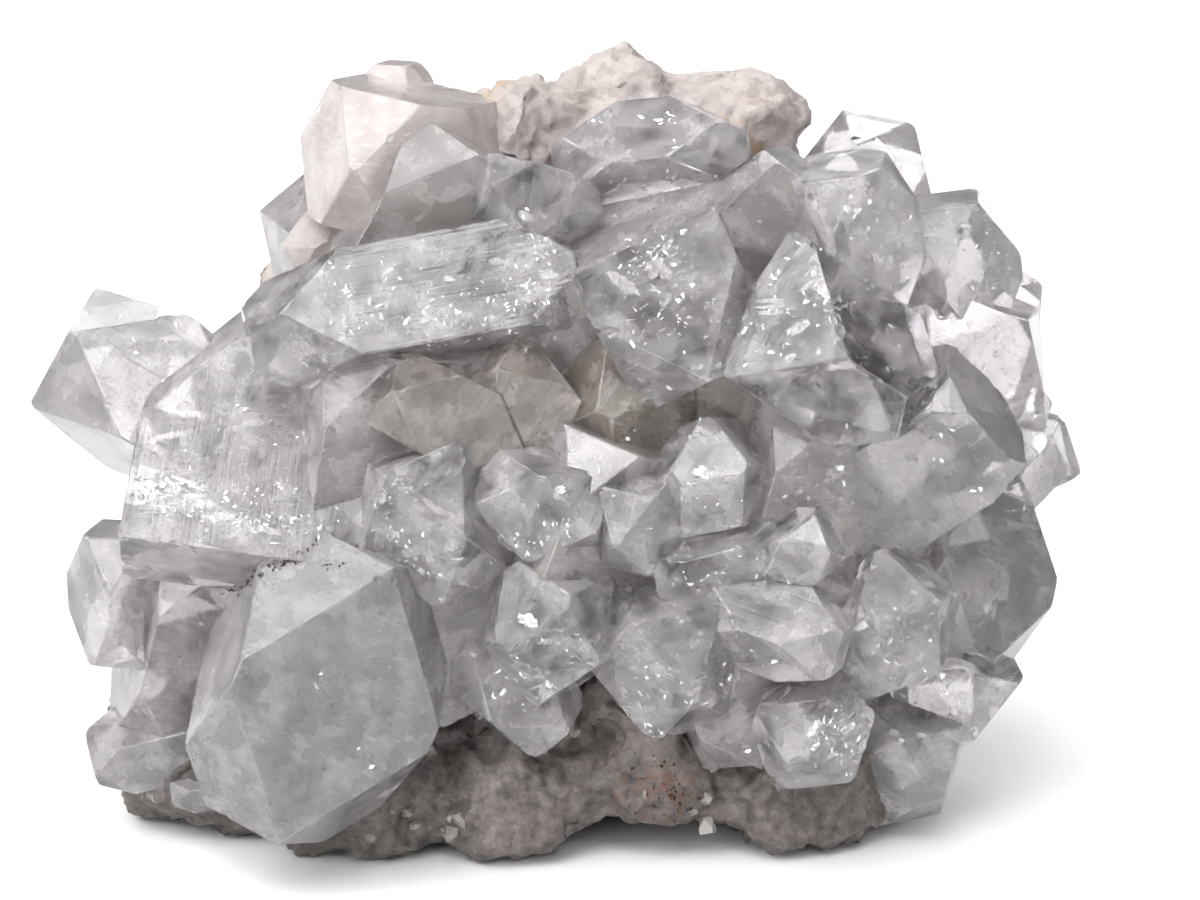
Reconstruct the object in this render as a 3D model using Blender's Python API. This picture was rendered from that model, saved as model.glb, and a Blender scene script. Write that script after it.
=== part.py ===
"""An apophyllite cluster: blocky tetragonal crystals grown together on a piece of their massive host rock.

Two pieces touch along their contact: the crystals, intergrown into one solid, and the matrix, which carries them
and rests on a flat face. Apophyllite's form is the same on every crystal: a square prism, the pyramid whose faces
sit over the prism's edges, and the base plane that cuts the points off. +Z is up and -Y is the cluster's front.
"""

import math
import random
from typing import NamedTuple

import bmesh
import bpy
from mathutils import Matrix, Vector, noise

MM = 0.001
OBJECT_NAME = "apophyllite_cluster"

# Apophyllite's pyramid faces make this angle with the base plane.
PYRAMID_ANGLE = math.radians(60.4)
CONTACT_GAP = 0.3  # mm between the crystals and the matrix

# The matrix, in mm
LUMP_FINENESS = 3  # subdivisions of a lump's sphere
LARGE_LUMP = 45  # a lump with a longer radius than this gets one subdivision more
SWELL_WIDTH = 24  # of the rock's broad swells
KNOB_WIDTH = 9  # of its knobs
KNOB_LEVEL = 0.55  # share of a knob's width from its middle at which the surface keeps its level
CHIP_COUNT = 14  # flat breaks that each lump has
CHIP_DEPTHS = (0.02, 0.2)  # how deep a break cuts, as a share of the lump's size there
FOOT_CUT = 0.0  # height of the flat that the cluster rests on
HOLLOW_FACETS = (20, 10)  # round and up the rounded hollows under the front edge


class Crystal(NamedTuple):
    """A crystal's shape in mm and degrees: it leans forward by lean and then to the right by roll."""

    place: tuple
    roll: float
    lean: float
    spin: float
    half_widths: tuple
    top: tuple  # how far the base plane and the pyramid's point lie above the middle
    foot: tuple  # the same below it


class Lump(NamedTuple):
    """One swelling of the host rock, in mm."""

    place: tuple
    radii: tuple
    roughness: float


CRYSTALS = {
    # The large crystals of the front
    "left_window": Crystal((-38.5, -16, 48.5), 8, -40, 0, (14, 6), (18, 24.5), (15.5, 40)),
    "left_foot": Crystal((-31, -28, 23.5), 23, -8, 15, (12.5, 8), (17.5, 27), (17.5, 27)),
    "long_upper": Crystal((-19.5, -19, 66.5), -98, 12, 30, (6.5, 7), (20, 25), (18, 28)),
    "pendant": Crystal((8.5, -22, 71), -26, -15, 0, (9, 7), (4, 24), (13.5, 22)),
    "clear_block": Crystal((24.5, -22, 64), 116, 34, -14, (9, 9.5), (17, 22.5), (4, 30)),
    "pale_right": Crystal((37, -17, 48), 52, 12, 10, (7.5, 7.5), (12, 26), (14, 30)),
    "grey_right": Crystal((44, -8, 31), 14, -30, 30, (9, 9), (9, 24), (11, 24)),
    # The middle and lower front
    "lozenge": Crystal((21, -29, 31.5), 105, 20, 45, (4.5, 4.5), (9, 14), (8, 13)),
    "wedge": Crystal((35, -19, 29), 35, 10, 20, (7, 6.5), (8, 16), (9, 17)),
    "glittering": Crystal((26, -25, 18), -15, 10, 30, (6.5, 6), (5.5, 13), (6, 14)),
    "lower_right": Crystal((43.5, -10, 18), 35, 20, -10, (6.5, 6.5), (7, 16), (7, 16)),
    "right_foot": Crystal((38, -13.5, 10), 10, 20, -15, (6.5, 6.5), (7, 15), (7, 15)),
    "small_prism": Crystal((24.5, -28, 40.5), 60, 15, 10, (3.5, 3.5), (4, 9), (4, 9)),
    "pentagon": Crystal((-4.5, -26, 30.5), 15, 15, 10, (7, 6.5), (8, 15), (8, 15)),
    "under_pentagon": Crystal((-9, -24, 22), -50, 0, 20, (5, 5), (8, 13), (8, 13)),
    "middle_block": Crystal((10, -24.5, 27), -8, 20, -35, (7.5, 7), (9, 18), (8, 18)),
    "middle_left": Crystal((-17.5, -25, 43), -20, 5, -25, (7, 6.5), (9, 17), (8, 17)),
    "middle_left_inner": Crystal((-5, -26, 45.5), 100, 10, 10, (5.5, 5.5), (7.5, 14), (7.5, 14)),
    "middle_left_upper": Crystal((-16, -23.5, 55), -60, 15, 10, (5, 5), (9, 15), (9, 15)),
    "hollow_left": Crystal((-6.5, -20, 54), -35, 10, 10, (5.5, 5), (9, 15), (8, 15)),
    "hollow_right": Crystal((5, -18, 55), 30, 5, 30, (8, 7), (9, 17), (8, 17)),
    "centre_small": Crystal((5.5, -26.5, 43.5), 0, 15, 25, (5, 5), (5.5, 12), (5, 12)),
    "centre_right": Crystal((14, -24.5, 47.5), 40, 10, 10, (6, 6), (6.5, 13), (6, 13)),
    "centre_row": Crystal((14.5, -27, 38.5), 75, 0, 20, (3.5, 3.5), (8, 12), (7, 12)),
    # The top
    "top_clear": Crystal((7, -9, 82.5), 82, 10, 35, (4.5, 5), (12, 15), (11, 15)),
    "top_small": Crystal((-6, -15, 78), -70, 15, 20, (4, 4), (7, 12), (7, 12)),
    "top_milky": Crystal((-22, -4, 81), 10, 0, 25, (10, 9), (8.5, 23), (8, 23)),
    "top_knob": Crystal((-23, 4, 88), 0, 0, 20, (4.5, 4.5), (3.5, 11), (5, 11)),
    "top_pink": Crystal((-30.5, -4, 71), 60, 0, 30, (3.5, 3.5), (4, 9), (5, 10)),
    "top_right": Crystal((22, -10, 77.5), 30, 10, 20, (5, 5), (5, 11), (7, 13)),
    "right_shoulder": Crystal((30, -11, 73.5), -10, 5, 35, (6.5, 6.5), (8.5, 19), (10, 20)),
    "far_right": Crystal((42.5, -5, 68), -8, 0, 40, (6.5, 6.5), (8.5, 17), (9, 18)),
    # The left and right edges
    "far_left": Crystal((-52.5, -6, 53), -60, 0, 30, (8.5, 8.5), (12, 22), (12, 22)),
    "left_middle": Crystal((-55, -16, 31), 0, 0, 35, (5, 5.5), (8, 15), (8, 15)),
    "left_low": Crystal((-51.5, -16, 12.5), 75, 0, 25, (4, 4), (9, 14), (8, 14)),
    "left_chip": Crystal((-46, -18, 7.5), 80, 0, 25, (2, 2.5), (4, 7), (4, 7)),
    "right_edge_upper": Crystal((50.5, -6, 53), -45, 10, 10, (3, 3), (6, 9), (5, 9)),
    "right_edge_lower": Crystal((53, -7, 45), 10, 10, 30, (3.5, 3.5), (5, 9), (5, 9)),
    "right_edge_tip": Crystal((56.5, -2, 45), -20, 0, 20, (2, 2), (4, 8), (4, 8)),
    # The inner crystals, which show between the front ones and hold them together
    "inner_left": Crystal((-22, -16, 50), 10, 10, 20, (12, 8), (14, 30), (14, 30)),
    "inner_low_left": Crystal((-14, -18, 30), -25, 5, 10, (11, 8), (12, 30), (9, 30)),
    "inner_centre": Crystal((2, -18, 40), 20, 0, 30, (12, 9), (12, 30), (12, 30)),
    "inner_low_right": Crystal((20, -17, 25), -20, 5, 15, (12, 9), (10, 30), (10, 30)),
    "inner_right": Crystal((27, -15, 43), 15, 5, 25, (12, 9), (14, 32), (14, 32)),
    "inner_upper": Crystal((6, -11, 66), 70, 0, 20, (11, 9), (22, 34), (22, 34)),
    "inner_hollow": Crystal((12, -14, 56), 20, 0, 10, (9, 8), (12, 24), (12, 24)),
    "inner_top_left": Crystal((-20, -8, 72), 30, 0, 15, (9, 8), (14, 26), (14, 26)),
    "inner_left_low": Crystal((-46, -12, 24), 15, 0, 20, (9, 8), (12, 26), (12, 26)),
    "inner_far_right": Crystal((42, -5, 52), 20, 0, 30, (9, 8), (14, 26), (14, 26)),
    # The right, left and back sides
    "side_right_upper": Crystal((48, 8, 58), 40, -20, 15, (6, 6), (8, 16), (8, 16)),
    "side_right_middle": Crystal((50, 9, 40), 70, -30, 20, (5.5, 5), (8, 14), (8, 14)),
    "side_right_low": Crystal((44, 8, 22), 55, -20, 35, (6, 6), (8, 15), (8, 15)),
    "side_left_upper": Crystal((-52, 8, 48), -50, -20, 20, (6, 6), (9, 16), (8, 16)),
    "side_left_low": Crystal((-51, -2, 24), -70, -15, 25, (6, 6), (8, 16), (8, 16)),
    "back_right": Crystal((33, 5, 75), 25, -40, 20, (6.5, 6), (9, 17), (9, 17)),
    "back_left": Crystal((-31, 4, 68), -30, -40, 30, (6.5, 7), (9, 17), (10, 17)),
}

LUMPS = {
    "body": Lump((-3, 13, 42), (46, 21, 42), 4.5),
    "body_front": Lump((-2, -4, 38), (38, 15, 34), 2.5),
    "back_low": Lump((8, 20, 24), (33, 14, 20), 4.0),
    "back_high": Lump((-14, 17, 56), (28, 16, 20), 4.0),
    "foot_left": Lump((-42, -4, 7), (19, 19, 15), 2.5),
    "foot_left_front": Lump((-26, -10, 6), (16, 17, 14), 2.0),
    "foot_front": Lump((-8, -14, 7), (15, 14, 13), 2.0),
    "foot_middle": Lump((8, -13, 9), (16, 14, 12), 2.0),
    "foot_right": Lump((25, -9, 7), (17, 18, 13), 2.5),
    "foot_core": Lump((-6, 3, 5), (44, 18, 12), 2.5),
    "foot_back": Lump((-4, 15, 10), (42, 20, 18), 4.0),
    "ledge": Lump((7, -20, 18.5), (11, 6.5, 5), 1.5),
    "crown_left": Lump((-9, 3, 82), (9, 11, 9), 2.0),
    "crown": Lump((5, 8, 84), (11, 12, 9), 2.0),
    "crown_right": Lump((17, 7, 83), (11, 11, 9), 2.0),
    "crown_back": Lump((2, 15, 72), (28, 15, 14), 4.0),
    "cheek_left": Lump((-26, 4, 68), (10, 11, 12), 2.0),
}

# Hollows under the front edge, in mm: place, radii
ARCHES = {
    "arch": ((7, -24, -1.5), (12.5, 17, 6)),
    "small_arch": ((-18, -26, -2), (5, 10, 3.4)),
}


def collection(name, parent):
    made = bpy.data.collections.new(name)
    parent.children.link(made)
    return made


def add_object(name, mesh, home):
    made = bpy.data.objects.new(name, mesh)
    home.objects.link(made)
    return made


def add_helper(name, mesh, home):
    """A shape that only joins or cuts: it isn't drawn and isn't one of the pieces."""
    helper = add_object(name, mesh, home)
    helper.hide_render = True
    helper.display_type = "WIRE"
    return helper


def material(name, colour, roughness, transmission):
    made = bpy.data.materials.new(name)
    made.use_nodes = True
    made.diffuse_color = (*colour, 1.0)
    shader = made.node_tree.nodes["Principled BSDF"]
    shader.inputs["Base Color"].default_value = (*colour, 1.0)
    shader.inputs["Roughness"].default_value = roughness
    shader.inputs["Metallic"].default_value = 0.0
    shader.inputs["Transmission Weight"].default_value = transmission
    return made


def placement(crystal):
    turn = Matrix.Rotation(math.radians(crystal.roll), 4, "Y")
    turn @= Matrix.Rotation(math.radians(crystal.lean), 4, "X")
    turn @= Matrix.Rotation(math.radians(crystal.spin), 4, "Z")
    return Matrix.Translation(crystal.place) @ turn


def cut_and_close(bm, point, normal):
    """Cuts away what lies beyond the plane and closes the cut with a flat face."""
    geometry = bm.verts[:] + bm.edges[:] + bm.faces[:]
    cut = bmesh.ops.bisect_plane(bm, geom=geometry, plane_co=point, plane_no=normal, clear_outer=True)
    edges = [item for item in cut["geom_cut"] if isinstance(item, bmesh.types.BMEdge)]
    if edges:
        bmesh.ops.contextual_create(bm, geom=edges)


def crystal_mesh(name, crystal, growth):
    """The crystal as a solid, every face moved outwards by growth mm."""
    half_x, half_y = (half + growth for half in crystal.half_widths)
    high = crystal.top[0] + growth
    low = crystal.foot[0] + growth
    point_growth = growth / math.cos(PYRAMID_ANGLE)
    bm = bmesh.new()
    block = Matrix.Translation((0, 0, (high - low) / 2)) @ Matrix.Diagonal((2 * half_x, 2 * half_y, high + low, 1))
    bmesh.ops.create_cube(bm, size=1, matrix=block)
    for end, point_height in ((1, crystal.top[1] + point_growth), (-1, crystal.foot[1] + point_growth)):
        for quarter in range(4):
            around = math.radians(45 + 90 * quarter)
            outward = Vector((math.cos(around), math.sin(around), 0)) * math.sin(PYRAMID_ANGLE)
            normal = outward + Vector((0, 0, end * math.cos(PYRAMID_ANGLE)))
            cut_and_close(bm, (0, 0, end * point_height), normal)
    bmesh.ops.transform(bm, matrix=Matrix.Scale(MM, 4) @ placement(crystal), verts=bm.verts[:])
    return finished(bm, name)


def lump_mesh(name, lump, seed):
    """A ball stretched to the lump's radii, with the rock's knobs and creases, and flat where it has broken."""
    bm = bmesh.new()
    radii = Vector(lump.radii)
    place = Vector(lump.place)
    bmesh.ops.create_icosphere(bm, subdivisions=LUMP_FINENESS + (max(radii) > LARGE_LUMP), radius=1)
    for vert in bm.verts:
        outward = vert.co.normalized()
        point = place + outward * radii
        swells = noise.noise(point / SWELL_WIDTH)
        knobs = KNOB_LEVEL - noise.voronoi(point / KNOB_WIDTH)[0][0]
        vert.co = point + outward * lump.roughness * (swells + knobs)
    chance = random.Random(seed)
    for _ in range(CHIP_COUNT):
        normal = Vector(chance.gauss(0, 1) for _ in range(3)).normalized()
        reach = (normal * radii).length * (1 - chance.uniform(*CHIP_DEPTHS))
        cut_and_close(bm, place + normal * reach, normal)
    bmesh.ops.scale(bm, vec=(MM, MM, MM), verts=bm.verts[:])
    return finished(bm, name)


def ball_mesh(name, place, radii):
    bm = bmesh.new()
    size = Matrix.Scale(MM, 4) @ Matrix.Translation(place) @ Matrix.Diagonal((*radii, 1))
    around, up = HOLLOW_FACETS
    bmesh.ops.create_uvsphere(bm, u_segments=around, v_segments=up, radius=1, matrix=size)
    return finished(bm, name)


def finished(bm, name):
    bmesh.ops.recalc_face_normals(bm, faces=bm.faces[:])
    mesh = bpy.data.meshes.new(name)
    bm.to_mesh(mesh)
    bm.free()
    return mesh


def evaluated_mesh(obj, name):
    bpy.context.view_layer.update()
    graph = bpy.context.evaluated_depsgraph_get()
    mesh = bpy.data.meshes.new_from_object(obj.evaluated_get(graph))
    mesh.name = name
    return mesh


def combine(obj, operation, others):
    """Adds an exact Boolean of this object with everything in a collection."""
    step = obj.modifiers.new(operation.title(), "BOOLEAN")
    step.operation = operation
    step.operand_type = "COLLECTION"
    step.collection = others
    step.solver = "EXACT"
    step.use_self = False


def islands(bm):
    """The mesh's points, grouped into the pieces they join."""
    waiting = set(bm.verts)
    found = []
    while waiting:
        group = set()
        border = {waiting.pop()}
        while border:
            vert = border.pop()
            group.add(vert)
            neighbours = {edge.other_vert(vert) for edge in vert.link_edges} - group
            border |= neighbours
        waiting -= group
        found.append(group)
    return found


def keep_largest(mesh):
    """Fills the voids enclosed between grown-together crystals, and drops chips that are cut loose from the rock."""
    bm = bmesh.new()
    bm.from_mesh(mesh)
    groups = sorted(islands(bm), key=len)
    for group in groups[:-1]:
        bmesh.ops.delete(bm, geom=list(group), context="VERTS")
    bm.to_mesh(mesh)
    bm.free()


def cut_flat(mesh, height):
    bm = bmesh.new()
    bm.from_mesh(mesh)
    cut_and_close(bm, (0, 0, height * MM), (0, 0, -1))
    bmesh.ops.triangulate(bm, faces=bm.faces[:])
    bm.to_mesh(mesh)
    bm.free()


def build_crystals(workshop):
    """The crystals joined in one solid, and the grown copies that cut their sockets in the rock."""
    blanks = collection("crystal_blanks", workshop)
    sockets = collection("sockets", workshop)
    first, *rest = CRYSTALS.items()
    base = add_helper("crystal_base", crystal_mesh(first[0], first[1], 0), workshop)
    for name, crystal in rest:
        add_helper(f"blank_{name}", crystal_mesh(name, crystal, 0), blanks)
    for name, crystal in CRYSTALS.items():
        add_helper(f"socket_{name}", crystal_mesh(name, crystal, CONTACT_GAP), sockets)
    combine(base, "UNION", blanks)
    mesh = evaluated_mesh(base, "crystal_cluster")
    keep_largest(mesh)
    return mesh, sockets


def build_matrix(workshop, sockets):
    """The host rock: lumps joined, cut flat below, hollowed at the front edge and socketed for the crystals."""
    lumps = collection("lumps", workshop)
    hollows = collection("hollows", workshop)
    first, *rest = LUMPS.items()
    base = add_helper("matrix_base", lump_mesh(first[0], first[1], 0), workshop)
    for seed, (name, lump) in enumerate(rest, start=1):
        add_helper(f"lump_{name}", lump_mesh(name, lump, seed), lumps)
    for name, (place, radii) in ARCHES.items():
        add_helper(f"hollow_{name}", ball_mesh(name, place, radii), hollows)
    combine(base, "UNION", lumps)
    rock = evaluated_mesh(base, "matrix_rock")
    cut_flat(rock, FOOT_CUT)
    body = add_helper("matrix_body", rock, workshop)
    combine(body, "DIFFERENCE", sockets)
    combine(body, "DIFFERENCE", hollows)
    mesh = evaluated_mesh(body, "matrix")
    keep_largest(mesh)
    return mesh


def bounds(meshes):
    points = [vert.co for mesh in meshes for vert in mesh.vertices]
    low = Vector(min(point[axis] for point in points) for axis in range(3))
    high = Vector(max(point[axis] for point in points) for axis in range(3))
    return low, high


def main():
    for obj in list(bpy.data.objects):
        bpy.data.objects.remove(obj)
    scene = bpy.context.scene.collection
    pieces = collection(OBJECT_NAME, scene)
    workshop = collection("workshop", scene)

    crystals, sockets = build_crystals(workshop)
    matrix = build_matrix(workshop, sockets)

    # The origin is the middle of the bounding box's underside.
    low, high = bounds((crystals, matrix))
    middle = Vector(((low.x + high.x) / 2, (low.y + high.y) / 2, low.z))
    for mesh in (crystals, matrix):
        mesh.transform(Matrix.Translation(-middle))

    crystals.materials.append(material("apophyllite", (0.72, 0.72, 0.71), 0.05, 0.9))
    matrix.materials.append(material("host_rock", (0.50, 0.44, 0.40), 0.6, 0.0))
    add_object("crystal_cluster", crystals, pieces)
    add_object("matrix", matrix, pieces)


main()
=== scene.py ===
import math
import random

import bmesh
import bpy
import numpy as np
from mathutils import Matrix, Vector, noise


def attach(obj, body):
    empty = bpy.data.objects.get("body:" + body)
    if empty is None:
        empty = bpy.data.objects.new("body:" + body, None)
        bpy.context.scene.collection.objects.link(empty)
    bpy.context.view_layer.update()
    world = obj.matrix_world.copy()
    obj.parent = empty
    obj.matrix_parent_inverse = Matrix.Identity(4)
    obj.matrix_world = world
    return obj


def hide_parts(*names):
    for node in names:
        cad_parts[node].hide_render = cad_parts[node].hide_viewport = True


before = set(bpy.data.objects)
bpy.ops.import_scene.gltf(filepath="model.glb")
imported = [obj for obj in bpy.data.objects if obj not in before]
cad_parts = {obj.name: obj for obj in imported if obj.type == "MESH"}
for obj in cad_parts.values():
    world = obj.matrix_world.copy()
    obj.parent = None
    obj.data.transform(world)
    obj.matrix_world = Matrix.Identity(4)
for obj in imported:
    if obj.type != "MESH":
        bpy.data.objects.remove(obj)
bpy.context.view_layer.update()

mm = 0.001

# The cluster's own layout is in mm; this moves its middle over the frame's origin.
layoutShift = Vector((3.175, 0.865, 0.0))

# Apophyllite's pyramid faces make this angle with the base plane.
pyramidAngle = math.radians(60.4)

fullTurn = 6.28  # radians, for a random turn


def randomVector(spread, chance):
    return Vector([chance.gauss(0, part) for part in spread])


def randomTilt(degrees, chance):
    tip = Matrix.Rotation(math.radians(chance.gauss(0, degrees)), 4, "X")
    return tip @ Matrix.Rotation(math.radians(chance.gauss(0, degrees)), 4, "Y")


def hexColour(code, alpha=1.0):
    parts = [int(code[i:i + 2], 16) / 255 for i in (1, 3, 5)]
    linear = [p / 12.92 if p <= 0.04045 else ((p + 0.055) / 1.055) ** 2.4 for p in parts]
    return (*linear, alpha)


def addNode(tree, kind, inputs=None, ramp=(), **settings):
    # inputs maps a socket's name or index to a value, a hex colour, or the output or node it is linked from;
    # ramp gives a colour ramp's stops
    node = tree.nodes.new(kind)
    for name, value in settings.items():
        setattr(node, name, value)
    for number, (position, code) in enumerate(ramp):
        node.color_ramp.elements[number].position = position
        node.color_ramp.elements[number].color = hexColour(code)
    for socket, value in (inputs or {}).items():
        if isinstance(value, bpy.types.Node):
            value = next(output for output in value.outputs if output.enabled)
        if isinstance(value, bpy.types.NodeSocket):
            tree.links.new(value, node.inputs[socket])
        elif isinstance(value, str) and value.startswith("#"):
            node.inputs[socket].default_value = hexColour(value)
        else:
            node.inputs[socket].default_value = value
    return node


def newMaterial(name):
    # an empty material, its tree, and where a point lies on the object, in m
    made = bpy.data.materials.new(name)
    made.use_nodes = True
    made.node_tree.nodes.clear()
    return made, made.node_tree, addNode(made.node_tree, "ShaderNodeTexCoord").outputs["Object"]


def newObject(name, mesh, home=None):
    made = bpy.data.objects.new(name, mesh)
    (home or bpy.context.scene.collection).objects.link(made)
    return made


def newCollection(name):
    made = bpy.data.collections.new(name)
    bpy.context.scene.collection.children.link(made)
    return made


def openMesh(mesh):
    bm = bmesh.new()
    bm.from_mesh(mesh)
    return bm


def closeMesh(bm, mesh):
    bm.to_mesh(mesh)
    bm.free()


def meshFrom(bm, name):
    mesh = bpy.data.meshes.new(name)
    closeMesh(bm, mesh)
    return mesh


def evaluatedMesh(obj, name):
    bpy.context.view_layer.update()
    graph = bpy.context.evaluated_depsgraph_get()
    mesh = bpy.data.meshes.new_from_object(obj.evaluated_get(graph), preserve_all_data_layers=True, depsgraph=graph)
    mesh.name = name
    return mesh


def combineSolids(name, mesh, others, operation):
    # one closed solid: the mesh joined with the others, or cut by them
    home = newCollection(name + "_others")
    first = newObject(name + "_first", mesh)
    rest = [newObject(f"{name}_{n}", other, home) for n, other in enumerate(others)]
    step = first.modifiers.new("Combine", "BOOLEAN")
    step.operation = operation
    step.operand_type = "COLLECTION"
    step.collection = home
    step.solver = "MANIFOLD"
    made = evaluatedMesh(first, name)
    for obj in [first, *rest]:
        bpy.data.objects.remove(obj)
    bpy.data.collections.remove(home)
    return made


def keepLargest(mesh):
    # drops the voids enclosed between grown-together crystals, and loose crumbs
    bm = openMesh(mesh)
    waiting = set(bm.verts)
    groups = []
    while waiting:
        group = set()
        border = [waiting.pop()]
        while border:
            vert = border.pop()
            group.add(vert)
            for edge in vert.link_edges:
                other = edge.other_vert(vert)
                if other in waiting:
                    waiting.discard(other)
                    border.append(other)
        groups.append(group)
    groups.sort(key=len)
    for group in groups[:-1]:
        bmesh.ops.delete(bm, geom=list(group), context="VERTS")
    closeMesh(bm, mesh)


def cutAndClose(bm, point, normal):
    geometry = bm.verts[:] + bm.edges[:] + bm.faces[:]
    cut = bmesh.ops.bisect_plane(bm, geom=geometry, plane_co=point, plane_no=normal, clear_outer=True)
    edges = [item for item in cut["geom_cut"] if isinstance(item, bmesh.types.BMEdge)]
    if edges:
        bmesh.ops.contextual_create(bm, geom=edges)


def refine(bm, longest):
    # even triangles on flat faces, so that they can carry relief
    bmesh.ops.triangulate(bm, faces=bm.faces[:])
    for _ in range(7):
        edges = [edge for edge in bm.edges if edge.calc_length() > longest]
        if not edges:
            break
        bmesh.ops.subdivide_edges(bm, edges=edges, cuts=1, use_single_edge=True)
        bmesh.ops.triangulate(bm, faces=bm.faces[:])
    wires = [edge for edge in bm.edges if not edge.link_faces]
    bmesh.ops.delete(bm, geom=wires, context="EDGES")
    loose = [vert for vert in bm.verts if not vert.link_faces]
    bmesh.ops.delete(bm, geom=loose, context="VERTS")


# Each look says how a crystal is inside: milk is its cloudiness, frost how etched its faces are, shade how light its
# body is, patches how many groups of cleavage shards it holds in a cubic centimetre and shards how many are in a
# group, warmth its beige tinge.
crystalLooks = {
    "clear": {"milk": 0.24, "frost": 0.04, "shade": 1.06, "patches": 4.5, "shards": 20, "warmth": 0.06},
    "window": {"milk": 0.08, "frost": 0.02, "shade": 0.80, "patches": 2.2, "shards": 18, "warmth": 0.0},
    "block": {"milk": 0.26, "frost": 0.03, "shade": 0.84, "patches": 2.4, "shards": 16, "warmth": 0.03},
    # The smooth look and the grey look of the right-hand crystals have darker bodies: partly their own grey, partly
    # painted shade where their faces turn down or away from the light.
    "smooth": {"milk": 0.46, "frost": 0.06, "shade": 0.20, "patches": 0.6, "shards": 8, "warmth": 0.03},
    "greyAndShaded": {"milk": 0.42, "frost": 0.05, "shade": -0.12, "patches": 0.8, "shards": 9, "warmth": 0.0},
    "cloudy": {"milk": 0.36, "frost": 0.12, "shade": 0.52, "patches": 2.6, "shards": 14, "warmth": 0.12},
    "glitter": {"milk": 0.22, "frost": 0.06, "shade": 1.1, "patches": 8.5, "shards": 22, "warmth": 0.08},
    "beige": {"milk": 0.38, "frost": 0.10, "shade": 0.60, "patches": 1.8, "shards": 12, "warmth": 0.8},
    "brown": {"milk": 0.40, "frost": 0.25, "shade": 0.28, "patches": 2.0, "shards": 12, "warmth": 1.0},
    "inner": {"milk": 0.40, "frost": 0.10, "shade": 0.62, "patches": 0.3, "shards": 10, "warmth": 0.40},
    "milky": {"milk": 1.0, "frost": 0.30, "shade": 0.80, "patches": 5.0, "shards": 18, "warmth": 0.6},
}

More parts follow.
